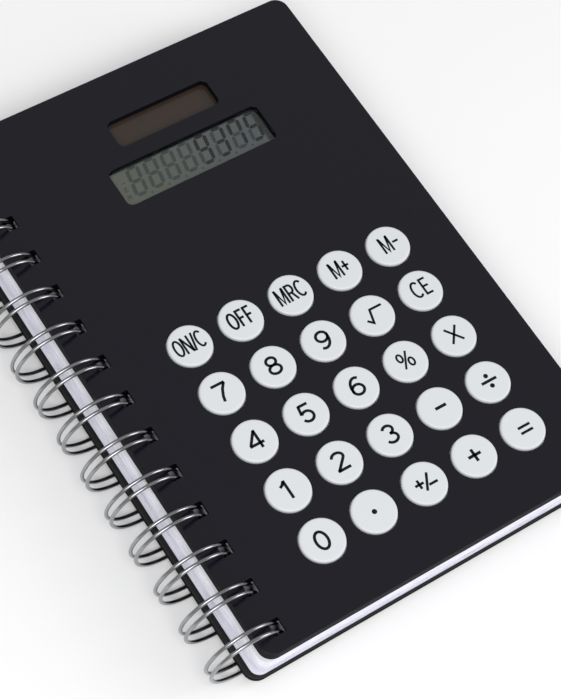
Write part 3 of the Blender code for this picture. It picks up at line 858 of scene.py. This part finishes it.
# ---------------------------------------------------------------- pages and back cover
@dataclass
class BookBlock:
    """The two halves of the pages, as stacks of single sheets, and the back cover board."""

    binding: Binding
    sheet_thickness: float = 0.19 * MM
    sheet_air: float = 0.01 * MM
    corner: float = 3.0 * MM
    corner_segments: int = 6
    slot_height: float = 4.4 * MM
    page_slot: Span = (7.9 * MM, 12.1 * MM)
    board_slot: Span = (4.4 * MM, 9.0 * MM)
    board_corner: float = 4.0 * MM
    board_edge: float = 0.25 * MM
    drift: float = 0.12 * MM
    lower_shear: float = 0.8 * MM
    upper_shear: float = 0.5 * MM

    def slotted(self, name: str, low: Vector, high: Vector, corner: float,
                slot: Span) -> bpy.types.Object:
        """Make a sheet or board with round corners and its row of binding slots.

        Args:
            name: the object's name.
            low: the lowest corner.
            high: the highest corner.
            corner: the corner radius.
            slot: the slots' nearest and furthest distance from the loop axis.

        Returns:
            The slotted piece.
        """
        piece = block(name, low, high)
        round_corners(piece, corner, self.corner_segments)
        levels = (low.z - MM, high.z + MM)
        cut_away(piece, self.binding.slots(slot[0], slot[1], self.slot_height, levels))
        return piece

    def build_pages(self, node: str, paper: RuledPaper, seed: int, shear: float) -> None:
        """Stack sheets that follow the loops outwards and drift a little from one another.

        Args:
            node: the CAD node that holds the stack's space.
            paper: the sheets' finish.
            seed: the seed of the drift.
            shear: how much further from the seam the top sheet lies than the lowest one.
        """
        chance = random.Random(seed)
        low, high = corners(node)
        step = self.sheet_thickness + self.sheet_air
        count = int((high.z - low.z) / step)
        start = Vector((low.x + self.drift, low.y, low.z))
        end = Vector((high.x - shear - self.drift, high.y, low.z + self.sheet_thickness))
        first = self.slotted("sheet", start, end, self.corner, self.page_slot)
        sheets = [first]
        for level in range(1, count):
            across = shear * level / count + chance.uniform(-1, 1) * self.drift
            shift = Vector((across, chance.uniform(-1, 0.5) * self.drift, level * step))
            sheets.append(copy_to(first, "sheet", shift))
        stack = joined(sheets, node + "_sheets")
        install(stack, node, paper, [node])

    def build_back_cover(self) -> None:
        """Make the board with its edges eased."""
        low, high = corners("back_cover")
        board = self.slotted("back_board", low, high, self.board_corner, self.board_slot)
        ease_edges(board, self.board_edge)
        install(board, "back", BACK_BOARD, ["back_cover"])
        # The edges take the shaded copy of the board's finish, dulled so they read dark as in shade.
        dress_sides(board, BOARD_SHADED_EDGE)

    def build(self) -> None:
        """Make the pages and the board."""
        self.build_back_cover()
        # The lower half's darker edges are painted shade.
        self.build_pages("lower_pages", SHADED_LOWER_PAPER, 11, self.lower_shear)
        self.build_pages("upper_pages", PAGE_PAPER, 12, self.upper_shear)


# ---------------------------------------------------------------- printed figures
@dataclass(frozen=True)
class Arc:
    """A curved stroke: part of an ellipse, with its ends in degrees."""

    x: float
    y: float
    wide: float
    tall: float
    start: float = 0.0
    end: float = 360.0


@dataclass(frozen=True)
class Dot:
    """A round spot, its radius in metres."""

    x: float
    y: float
    radius: float


Stroke = list[Point] | Arc | Dot

# Each sign's width and strokes, on a body one unit high.
STROKES: dict[str, tuple[float, list[Stroke]]] = {
    "0": (0.56, [Arc(0.28, 0.5, 0.225, 0.45)]),
    "1": (0.56, [[(0.05, 0.73), (0.17, 0.81), (0.27, 0.97)], [(0.27, 1.0), (0.27, 0.0)]]),
    "2": (0.56, [Arc(0.28, 0.72, 0.225, 0.23, 170, -28), [(0.475, 0.615), (0.05, 0.06)],
                 [(0.01, 0.06), (0.54, 0.06)]]),
    "3": (0.56, [Arc(0.27, 0.735, 0.195, 0.215, 160, -90), Arc(0.27, 0.285, 0.225, 0.235, 90, -160)]),
    "4": (0.58, [[(0.41, 0.0), (0.41, 1.0)], [(0.41, 0.95), (0.03, 0.30)], [(-0.01, 0.27), (0.57, 0.27)]]),
    "5": (0.56, [[(0.50, 0.94), (0.12, 0.94)], [(0.14, 0.97), (0.08, 0.48)],
                 Arc(0.27, 0.325, 0.225, 0.275, 145, -155)]),
    "6": (0.56, [Arc(0.28, 0.32, 0.225, 0.27), Arc(0.35, 0.40, 0.29, 0.55, 62, 195)]),
    "7": (0.56, [[(0.0, 0.94), (0.55, 0.94)], [(0.53, 0.93), (0.35, 0.62), (0.23, 0.28), (0.18, 0.0)]]),
    "8": (0.56, [Arc(0.28, 0.735, 0.19, 0.215), Arc(0.28, 0.285, 0.225, 0.235)]),
    "9": (0.56, [Arc(0.28, 0.68, 0.225, 0.27), Arc(0.21, 0.60, 0.29, 0.55, -118, 15)]),
    "C": (0.62, [Arc(0.33, 0.5, 0.28, 0.45, 46, 314)]),
    "E": (0.54, [[(0.50, 0.95), (0.09, 0.95), (0.09, 0.05), (0.51, 0.05)], [(0.09, 0.52), (0.47, 0.52)]]),
    "F": (0.50, [[(0.48, 0.95), (0.09, 0.95), (0.09, 0.0)], [(0.09, 0.50), (0.43, 0.50)]]),
    "M": (0.74, [[(0.09, 0.0), (0.09, 1.0)], [(0.11, 0.95), (0.37, 0.06), (0.63, 0.95)],
                 [(0.65, 1.0), (0.65, 0.0)]]),
    "N": (0.62, [[(0.07, 0.0), (0.07, 1.0)], [(0.09, 0.94), (0.53, 0.06)], [(0.55, 0.0), (0.55, 1.0)]]),
    "O": (0.66, [Arc(0.33, 0.5, 0.27, 0.45)]),
    "R": (0.60, [[(0.09, 0.0), (0.09, 0.95), (0.33, 0.95)], Arc(0.33, 0.715, 0.18, 0.235, 90, -90),
                 [(0.33, 0.48), (0.09, 0.48)], [(0.33, 0.48), (0.54, 0.0)]]),
    "X": (0.66, [[(0.05, 0.95), (0.61, 0.05)], [(0.05, 0.05), (0.61, 0.95)]]),
    "/": (0.30, [[(0.03, -0.01), (0.29, 1.02)]]),
    "+": (0.48, [[(0.01, 0.5), (0.47, 0.5)], [(0.24, 0.20), (0.24, 0.80)]]),
    "-": (0.46, [[(0.03, 0.47), (0.43, 0.47)]]),
    "%": (0.88, [Arc(0.19, 0.715, 0.15, 0.235), Arc(0.69, 0.285, 0.15, 0.235), [(0.16, 0.0), (0.70, 1.0)]]),
    "plus": (0.76, [[(0.01, 0.5), (0.75, 0.5)], [(0.38, 0.15), (0.38, 0.85)]]),
    "minus": (0.66, [[(0.01, 0.5), (0.65, 0.5)]]),
    "equals": (0.74, [[(0.01, 0.655), (0.73, 0.655)], [(0.01, 0.345), (0.73, 0.345)]]),
    "divide": (0.92, [[(0.01, 0.5), (0.91, 0.5)], Dot(0.46, 0.80, 0.7 * MM), Dot(0.46, 0.20, 0.7 * MM)]),
    "root": (0.96, [[(0.02, 0.31), (0.275, 0.06), (0.48, 0.81), (1.18, 0.81)]]),
    "sign": (1.24, [[(0.07, 0.54), (0.57, 0.54)], [(0.32, 0.295), (0.32, 0.795)],
                    [(0.50, 0.08), (0.98, 0.93)], [(0.75, 0.305), (1.25, 0.305)]]),
    "point": (0.4, [Dot(0.2, 0.5, 0.75 * MM)]),
}


@dataclass(frozen=True)
class Legend:
    """What is printed on a key: its signs, their height, set width and weight, and where they sit."""

    signs: tuple[str, ...]
    height: float = 5.8 * MM
    width: float = 1.34
    weight: float = 0.84 * MM
    shift: Point = (0.0, 0.1 * MM)
    spacing: float = 0.06


LETTER_HEIGHT = 5.5 * MM
LETTER_WEIGHT = 0.68 * MM
LETTER_RISE = 0.5 * MM
LEGENDS: dict[str, Legend] = {
    "on_c": Legend(("O", "N", "/", "C"), LETTER_HEIGHT, 0.73, 0.64 * MM, (-0.1 * MM, LETTER_RISE), 0.05),
    "off": Legend(("O", "F", "F"), LETTER_HEIGHT, 0.80, 0.72 * MM, (0.0, LETTER_RISE)),
    "mrc": Legend(("M", "R", "C"), LETTER_HEIGHT, 0.80, LETTER_WEIGHT, (0.0, LETTER_RISE)),
    "m_plus": Legend(("M", "+"), LETTER_HEIGHT, 0.86, LETTER_WEIGHT, (0.1 * MM, LETTER_RISE)),
    "m_minus": Legend(("M", "-"), LETTER_HEIGHT, 0.86, LETTER_WEIGHT, (0.7 * MM, LETTER_RISE)),
    "ce": Legend(("C", "E"), LETTER_HEIGHT, 0.88, LETTER_WEIGHT, (0.2 * MM, LETTER_RISE)),
    "root": Legend(("root",), 5.6 * MM, 1.0, 0.72 * MM, (0.0, 0.0)),
    "percent": Legend(("%",), 5.2 * MM, 1.02, 0.62 * MM, (0.0, 0.2 * MM)),
    "times": Legend(("X",), 5.6 * MM, 1.22, 0.70 * MM, (0.0, 0.2 * MM)),
    "divide": Legend(("divide",), 5.6 * MM, 1.0, 0.86 * MM, (0.2 * MM, 0.0)),
    "minus": Legend(("minus",), 5.6 * MM, 1.0, 0.92 * MM, (0.3 * MM, 0.1 * MM)),
    "plus": Legend(("plus",), 5.6 * MM, 1.0, 0.90 * MM, (0.0, 0.0)),
    "equals": Legend(("equals",), 5.6 * MM, 1.0, 0.78 * MM, (0.5 * MM, -0.4 * MM)),
    "sign": Legend(("sign",), 5.6 * MM, 1.0, 0.76 * MM, (0.0, 0.0)),
    "point": Legend(("point",), 5.6 * MM, 1.0, shift=(-0.1 * MM, -0.2 * MM)),
    "0": Legend(("0",), shift=(-0.3 * MM, -0.1 * MM)),
}


@dataclass
class Printer:
    """Lays flat ink on a level face, as raised strokes a few hundredths of a millimetre thick.

    A stroke is closed when its ends are nearer than closing times its weight. Its corners are no wider
    than its weight divided by mitre.
    """

    ink: float = 0.03 * MM
    sink: float = 0.01 * MM
    arc_step: float = 10.0
    closing: float = 0.1
    mitre: float = 0.5

    def centre_line(self, stroke: list[Point] | Arc) -> list[Point]:
        """Return a stroke's points on the unit body.

        Args:
            stroke: points or an arc.

        Returns:
            The points of its centre line.
        """
        if isinstance(stroke, list):
            return stroke
        steps = max(2, round(abs(stroke.end - stroke.start) / self.arc_step))
        turn = (stroke.end - stroke.start) / steps
        angles = [math.radians(stroke.start + turn * i) for i in range(steps + 1)]
        return [(stroke.x + stroke.wide * math.cos(a), stroke.y + stroke.tall * math.sin(a)) for a in angles]

    def spot(self, ribbon: bmesh.types.BMesh, middle: Vector, radius: float, level: float) -> None:
        """Add a round spot of ink to a mesh.

        Args:
            ribbon: the mesh.
            middle: its centre, on the level face.
            radius: its radius.
            level: the height of the face.
        """
        steps = round(360 / self.arc_step)
        angles = [math.tau * i / steps for i in range(steps)]
        rim = [middle + radius * Vector((math.cos(angle), math.sin(angle), 0)) for angle in angles]
        plate(ribbon, rim, level - self.sink, level + self.ink)

    def lay(self, ribbon: bmesh.types.BMesh, line: list[Vector], weight: float, level: float) -> None:
        """Add one stroke of ink to a mesh.

        Args:
            ribbon: the mesh.
            line: the centre line in metres, on the level face.
            weight: the stroke's width.
            level: the height of the face.
        """
        closed = (line[0] - line[-1]).length < weight * self.closing
        if closed:
            line = line[:-1]
        count = len(line)
        rails = []
        for i, point in enumerate(line):
            back = line[(i - 1) % count] if closed or i else point
            ahead = line[(i + 1) % count] if closed or i < count - 1 else point
            arrive = (point - back).normalized() if (point - back).length else (ahead - point).normalized()
            leave = (ahead - point).normalized() if (ahead - point).length else arrive
            run = (arrive + leave).normalized()
            side = Vector((-run.y, run.x, 0)) * (weight / 2 / max(self.mitre, run.dot(arrive)))
            top = (level + self.ink) * UP
            foot = (level - self.sink) * UP
            rails.append([ribbon.verts.new(place) for place in (
                point + side + top, point - side + top, point - side + foot, point + side + foot)])
        pairs = list(zip(rails, rails[1:])) + ([(rails[-1], rails[0])] if closed else [])
        for one, two in pairs:
            for k in range(4):
                ribbon.faces.new((one[k], one[(k + 1) % 4], two[(k + 1) % 4], two[k]))
        if not closed:
            ribbon.faces.new(rails[0])
            ribbon.faces.new(list(reversed(rails[-1])))

    def print_legend(self, name: str, legend: Legend, centre: Point, level: float) -> bpy.types.Object:
        """Print a row of signs centred on a place.

        Args:
            name: the object's name.
            legend: what to print.
            centre: the middle of the key.
            level: the height of its face.

        Returns:
            The ink.
        """
        scale = legend.height * legend.width
        total = sum(STROKES[sign][0] for sign in legend.signs) + legend.spacing * (len(legend.signs) - 1)
        left = centre[0] + legend.shift[0] - total / 2 * scale
        foot = centre[1] + legend.shift[1] - legend.height / 2
        ribbon = bmesh.new()
        for sign in legend.signs:
            width, strokes = STROKES[sign]
            for stroke in strokes:
                if isinstance(stroke, Dot):
                    middle = Vector((left + stroke.x * scale, foot + stroke.y * legend.height, 0))
                    self.spot(ribbon, middle, stroke.radius, level)
                else:
                    line = [Vector((left + x * scale, foot + y * legend.height, 0))
                            for x, y in self.centre_line(stroke)]
                    self.lay(ribbon, line, legend.weight, level)
            left += (width + legend.spacing) * scale
        return from_mesh(ribbon, name)


# ---------------------------------------------------------------- keypad
@dataclass
class Keypad:
    """Twenty-five round key caps with printed legends."""

    printer: Printer
    flange_height: float = 0.35 * MM
    cap_radius: float = 6.5 * MM
    edge_radius: float = 0.6 * MM
    edge_segments: int = 6
    face_margin: float = 0.6 * MM
    sides: int = 64

    def model_cap(self, node: str) -> bpy.types.Object:
        """Model one cap at a key's place: a drum with a flange below and a rounded rim above.

        Args:
            node: the CAD node of the key.

        Returns:
            The cap.
        """
        low, high = corners(node)
        flange_radius = (high.x - low.x) / 2
        foot = centre_of(node, low.z + self.flange_height)
        cap = drum("key_cap", foot, self.cap_radius, high.z - foot.z, self.sides)
        pick(cap, Element.FACE, facing(-UP))
        spread = flange_radius / self.cap_radius
        bpy.ops.mesh.extrude_region_move(TRANSFORM_OT_translate={"value": (0, 0, 0)})
        bpy.ops.transform.resize(value=(spread, spread, 1), center_override=foot)
        bpy.ops.mesh.extrude_region_move(TRANSFORM_OT_translate={"value": (0, 0, -self.flange_height)})
        leave_edit()
        rim = high.z
        pick(cap, Element.EDGE, lambda edge: all(abs(v.co.z - rim) < TOUCH for v in edge.verts))
        bpy.ops.mesh.bevel(offset=self.edge_radius, segments=self.edge_segments, affect="EDGES")
        leave_edit()
        pick(cap, Element.FACE, lambda face: (
            face.normal.z > ALIGNED and face.calc_center_median().z > rim - TOUCH))
        bpy.ops.mesh.inset(thickness=self.face_margin)
        leave_edit()
        shade(cap)
        return cap

    def build(self, frame: dict) -> None:
        """Copy the cap to every key's place and print each legend.
        """
        nodes = sorted(node for node in frame["nodes"] if node.startswith("key_"))
        master = self.model_cap(nodes[0])
        start = centre_of(nodes[0])
        for node in nodes:
            centre = centre_of(node)
            cap = copy_to(master, node + "_cap", centre - start)
            install(cap, node, KEY_ABS, [node])
            sign = node.removeprefix("key_")
            legend = LEGENDS.get(sign, Legend((sign,)))
            face = corners(node)[1].z
            ink = self.printer.print_legend(node + "_legend", legend, (centre.x, centre.y), face)
            install(ink, node, KEY_INK)
        bpy.data.objects.remove(master, do_unlink=True)


# ---------------------------------------------------------------- cover shell
@dataclass
class CoverShell:
    """The front cover's shell: a slab, hollow from below, with eased edges round every opening.

    The hollow's corners are measured from the shell's lower left corner. A cutter goes past the face
    that it starts from by the reach.
    """

    binding: Binding
    corner: float = 4.0 * MM
    corner_segments: int = 8
    skin: float = 1.15 * MM
    ledge_height: float = 0.80 * MM
    plate_gap: float = 0.15 * MM
    hollow_low: Point = (20.0 * MM, 9.5 * MM)
    hollow_high: Point = (109.0 * MM, 150.8 * MM)
    pocket_depth: float = 2.15 * MM
    pocket_margin: float = 0.8 * MM
    pocket_reach: float = 2.0 * MM
    slot: Span = (7.4 * MM, 11.6 * MM)
    slot_lean: float = 1.0 * MM
    slot_height: float = 4.4 * MM
    slot_reach: float = 0.1 * MM
    key_hole_radius: float = 6.75 * MM
    key_hole_depth: float = 2.0 * MM
    key_hole_sides: int = 64
    window_depth: float = 4.0 * MM
    window_corner: float = 1.8 * MM
    window_segments: int = 6
    display_size: Point = (50.8 * MM, 13.0 * MM)
    solar_size: Point = (34.2 * MM, 9.4 * MM)
    reach: float = 1.0 * MM
    edge: float = 0.18 * MM

    def window(self, node: str, size: Point, face: float) -> bpy.types.Object:
        """Return a cutter for a window with round corners over a CAD node.

        Args:
            node: the CAD node in the middle of the window.
            size: the window's width and height.
            face: the height of the cover's face.

        Returns:
            The cutter.
        """
        half = Vector((size[0] / 2, size[1] / 2, 0))
        cutter = block("window", centre_of(node, face - self.window_depth) - half,
                       centre_of(node, face + self.reach) + half)
        round_corners(cutter, self.window_corner, self.window_segments)
        return cutter

    def hollow_out(self, shell: bpy.types.Object) -> None:
        """Cut the back plate's recess, the hollow and the solar cell's pocket from below.

        Args:
            shell: the shell.
        """
        low, high = corners("cover_shell")
        plate_low, plate_high = corners("cover_back_plate")
        gap = Vector((self.plate_gap, self.plate_gap, 0))
        cut_away(shell, block("recess", plate_low - gap - self.reach * UP,
                              Vector((plate_high.x, plate_high.y, low.z + self.ledge_height)) + gap))
        cut_away(shell, block("hollow", low + Vector((*self.hollow_low, -self.reach)),
                              Vector((low.x, low.y, high.z)) + Vector((*self.hollow_high, -self.skin))))
        cell_low, cell_high = corners("solar_cell")
        margin = Vector((self.pocket_margin, self.pocket_margin, 0))
        cut_away(shell, block("pocket", cell_low - margin - self.pocket_reach * UP,
                              Vector((cell_high.x, cell_high.y, high.z - self.pocket_depth)) + margin))

    def openings(self, frame: dict) -> bpy.types.Object:
        """Return one cutter for the key holes, the windows and the binding slots.


        Returns:
            The cutter.
        """
        low, high = corners("cover_shell")
        cutters = [drum("key_hole", centre_of(node, high.z - self.key_hole_depth), self.key_hole_radius,
                        self.key_hole_depth + self.reach, self.key_hole_sides)
                   for node in frame["nodes"] if node.startswith("key_")]
        cutters.append(self.window("display_lens", self.display_size, high.z))
        cutters.append(self.window("solar_cell", self.solar_size, high.z))
        levels = (low.z - self.slot_reach, high.z + self.slot_reach)
        cutters.append(self.binding.slots(*self.slot, self.slot_height, levels, self.slot_lean))
        return joined(cutters, "openings")

    def build(self, frame: dict) -> None:
        """Shape the shell from a block and install it.
        """
        shell = block("front_cover_shell", *corners("cover_shell"))
        round_corners(shell, self.corner, self.corner_segments)
        self.hollow_out(shell)
        cut_away(shell, self.openings(frame))
        ease_edges(shell, self.edge)
        install(shell, "front_cover", COVER_ABS, ["cover_shell"])
        # The walls take the shaded copy of the ABS, dulled so they read dark as in shade.
        dress_sides(shell, COVER_ABS_SHADED_SIDES)


# ---------------------------------------------------------------- screws
class Head(Enum):
    """The shape of a screw's head, with its height."""

    FLAT = 0.4 * MM
    COUNTERSUNK = 0.3 * MM


@dataclass
class Screws:
    """The small cross-slotted screws of the cover's back plate and battery door, heads down."""

    plate_screws: int = 4
    shank_radius: float = 0.9 * MM
    rim: float = 0.08 * MM
    cross_length: float = 2.2 * MM
    cross_width: float = 0.5 * MM
    cross_depth: float = 0.25 * MM
    sides: int = 32

    def build_screw(self, node: str, head: Head) -> None:
        """Model one screw in its CAD node's place and install it.

        Args:
            node: the CAD node of the screw.
            head: the shape of its head.
        """
        low, high = corners(node)
        centre = centre_of(node, low.z)
        radius = (high.x - low.x) / 2
        screw = drum(node + "_fine", centre, radius, head.value, self.sides)
        pick(screw, Element.FACE, facing(UP))
        if head is Head.FLAT:
            bpy.ops.mesh.extrude_region_move(TRANSFORM_OT_translate={"value": (0, 0, 0)})
        narrowing = self.shank_radius / radius
        neck = centre + head.value * UP
        bpy.ops.transform.resize(value=(narrowing, narrowing, 1), center_override=neck)
        bpy.ops.mesh.extrude_region_move(TRANSFORM_OT_translate={"value": (0, 0, high.z - neck.z)})
        leave_edit()
        for wide, tall in ((self.cross_length, self.cross_width), (self.cross_width, self.cross_length)):
            half = Vector((wide / 2, tall / 2, 0))
            cut_away(screw, block("cross_slot", centre - half - MM * UP,
                                  centre + half + self.cross_depth * UP))
        ease_edges(screw, self.rim, 1)
        install(screw, "front_cover", SCREW_STEEL, [node])

    def build(self) -> None:
        """Make the plate's screws and the door's."""
        for number in range(1, self.plate_screws + 1):
            self.build_screw(f"plate_screw_{number}", Head.FLAT)
        self.build_screw("door_screw", Head.COUNTERSUNK)


# ---------------------------------------------------------------- display
SEGMENTS: dict[str, str] = {
    "0": "abcdef", "1": "bc", "2": "abdeg", "3": "abcdg", "4": "bcfg", "5": "acdfg", "6": "acdefg",
    "7": "abcf", "8": "abcdefg", "9": "abcdfg",
}
# The small indicators beside the first figure, as bars (left, right, bottom, top) in millimetres.
INDICATORS = (
    ((0.0, 1.1, 5.9, 6.2),),
    ((0.0, 0.3, 3.0, 4.6), (0.3, 1.1, 4.3, 4.6), (0.3, 0.9, 3.65, 3.95), (0.3, 1.1, 3.0, 3.3)),
    ((0.0, 0.3, 0.2, 1.8), (0.3, 0.6, 1.1, 1.6), (0.6, 0.9, 1.1, 1.6), (0.9, 1.2, 0.2, 1.8)),
)


@dataclass
class Display:
    """The figures of the liquid crystal display: every place at rest, the last few driven dark."""

    places: int = 8
    shown: str = "9375"
    figure_height: float = 10.2 * MM
    figure_width: float = 4.45 * MM
    pitch: float = 5.75 * MM
    stroke: float = 1.15 * MM
    gap: float = 0.14 * MM
    slant: float = math.radians(10.0)
    film: float = 0.02 * MM
    lift: float = 0.01 * MM
    point_size: float = 0.65 * MM
    point_gap: float = 0.45 * MM
    point_drop: float = 0.7 * MM
    shift: Point = (0.65 * MM, 0.95 * MM)
    indicator_gap: float = 2.4 * MM

    def segment(self, name: str) -> list[Point]:
        """Return the outline of one segment on an upright figure, from its lower left corner.

        Args:
            name: a letter from a to g.

        Returns:
            The outline's points.
        """
        w, h, s = self.figure_width, self.figure_height, self.stroke
        half = s / 2
        level = {"a": h - half, "g": h / 2, "d": half}
        if name in level:
            y = level[name]
            x0, x1 = half + self.gap, w - half - self.gap
            return [(x0, y), (x0 + half, y - half), (x1 - half, y - half), (x1, y), (x1 - half, y + half),
                    (x0 + half, y + half)]
        x = half if name in "ef" else w - half
        y0, y1 = (half, h / 2) if name in "ce" else (h / 2, h - half)
        y0, y1 = y0 + self.gap, y1 - self.gap
        return [(x, y0), (x + half, y0 + half), (x + half, y1 - half), (x, y1), (x - half, y1 - half),
                (x - half, y0 + half)]

    def bar(self, left: float, right: float, bottom: float, top: float) -> list[Point]:
        """Return the outline of an upright bar."""
        return [(left, bottom), (right, bottom), (right, top), (left, top)]

    def lay(self, film: bmesh.types.BMesh, outline: list[Point], corner: Vector) -> None:
        """Add one flat patch of crystal to a mesh.

        Args:
            film: the mesh.
            outline: its points on the upright figure.
            corner: the figure's lower left corner, on the glass.
        """
        lean = math.tan(self.slant)
        base = [corner + Vector((x + y * lean, y, 0)) for x, y in outline]
        plate(film, base, corner.z, corner.z + self.film)

    def build(self) -> None:
        """Lay the figures on the front glass and install them."""
        glass = corners("lcd_front_glass")[1].z
        width = (self.places - 1) * self.pitch + self.figure_width
        start = centre_of("display_lens", glass + self.lift) + Vector((
            self.shift[0] - width / 2, self.shift[1] - self.figure_height / 2, 0))
        resting = bmesh.new()
        driven = bmesh.new()
        left = self.figure_width + self.point_gap
        point = self.bar(left, left + self.point_size, -self.point_drop, self.point_size - self.point_drop)
        for place in range(self.places):
            corner = start + Vector((place * self.pitch, 0, 0))
            index = place - (self.places - len(self.shown))
            lit = SEGMENTS[self.shown[index]] if index >= 0 else ""
            for name in "abcdefg":
                self.lay(driven if name in lit else resting, self.segment(name), corner)
            self.lay(driven if place == self.places - 1 else resting, point, corner)
        corner = start - Vector((self.indicator_gap, 0, 0))
        for bars in INDICATORS:
            for edges in bars:
                self.lay(resting, self.bar(*(edge * MM for edge in edges)), corner)
        for name, film, finish in (("segments_at_rest", resting, LCD_GHOST),
                                   ("segments_driven", driven, LCD_DARK)):
            install(from_mesh(film, name), "front_cover", finish)


# ---------------------------------------------------------------- studio
@dataclass(frozen=True)
class Softbox:
    """A square soft light: its place and its side in metres, and its power in watts."""

    name: str
    place: tuple[float, float, float]
    side: float
    power: float


@dataclass
class Studio:
    """A white floor, an even sky, two softboxes and the camera.

    The camera stands off the ON/C key's face by camera_offset. right points along the width of its view
    and ahead along its line of sight.
    """

    floor_size: float = 6.0
    floor_drop: float = 0.2 * MM
    sky_strength: float = 0.42
    softboxes: tuple[Softbox, ...] = (
        Softbox("near_softbox", (-0.45, -0.5, 1.0), 0.8, 9.3),
        Softbox("right_softbox", (0.95, -0.45, 0.6), 0.6, 4.8),
    )
    lens_mm: float = 109.8
    sensor_mm: float = 36.0
    camera_offset: Vector = field(default_factory=lambda: Vector((-186.26, -215.29, 517.36)) * MM)
    right: Vector = field(default_factory=lambda: Vector((0.83313, -0.53902, 0.12394)))
    ahead: Vector = field(default_factory=lambda: Vector((0.35011, 0.34048, -0.87264)))

    def build_floor(self) -> None:
        """Add a wide white floor just under the loops."""
        deselect_all()
        bpy.ops.mesh.primitive_plane_add(size=self.floor_size, location=(0, 0, -self.floor_drop))
        floor = bpy.context.object
        floor.name = "floor"
        dress(floor, FLOOR_PAPER)

    def build_lights(self) -> None:
        """Add the even sky and the softboxes, which look at the object."""
        world = bpy.data.worlds.new("studio_sky")
        bpy.context.scene.world = world
        world.use_nodes = True
        sky = world.node_tree.nodes["Background"]
        sky.inputs["Color"].default_value = linear("#FFFFFF")
        sky.inputs["Strength"].default_value = self.sky_strength
        for softbox in self.softboxes:
            data = bpy.data.lights.new(softbox.name, "AREA")
            data.shape = "SQUARE"
            data.size = softbox.side
            data.energy = softbox.power
            lamp = bpy.data.objects.new(softbox.name, data)
            lamp.location = softbox.place
            lamp.rotation_euler = (-lamp.location).to_track_quat("-Z", "Y").to_euler()
            bpy.context.scene.collection.objects.link(lamp)
        bpy.context.scene.view_settings.view_transform = "Standard"

    def build_camera(self) -> None:
        """Place the camera from the ON/C key's face."""
        data = bpy.data.cameras.new("camera")
        data.lens = self.lens_mm
        data.sensor_width = self.sensor_mm
        camera = bpy.data.objects.new("camera", data)
        bpy.context.scene.collection.objects.link(camera)
        turn = Matrix((self.right, self.right.cross(self.ahead), -self.ahead)).transposed().to_4x4()
        face = centre_of("key_on_c", corners("key_on_c")[1].z)
        camera.matrix_world = Matrix.Translation(face + self.camera_offset) @ turn
        bpy.context.scene.camera = camera

    def build(self) -> None:
        """Set the stage."""
        self.build_floor()
        self.build_lights()
        self.build_camera()


def dress_frame(frame: dict) -> None:
    """Give the CAD pieces that stay their finishes.
    """
    for name, finish in CAD_FINISHES.items():
        piece = frame["nodes"][name]
        for slot in piece.material_slots:
            slot.material = finish.material()
        LOG.info("%s: %s", name, finish.name)


def main() -> None:
    """Build the notebook round its frame."""
    logging.basicConfig(level=logging.INFO, format="%(name)s: %(message)s")
    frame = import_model()
    Studio().build()
    dress_frame(frame)
    binding = Binding()
    binding.build()
    BookBlock(binding).build()
    CoverShell(binding).build(frame)
    Screws().build()
    Keypad(Printer()).build(frame)
    Display().build()
    deselect_all()


if __name__ == "__main__":
    main()
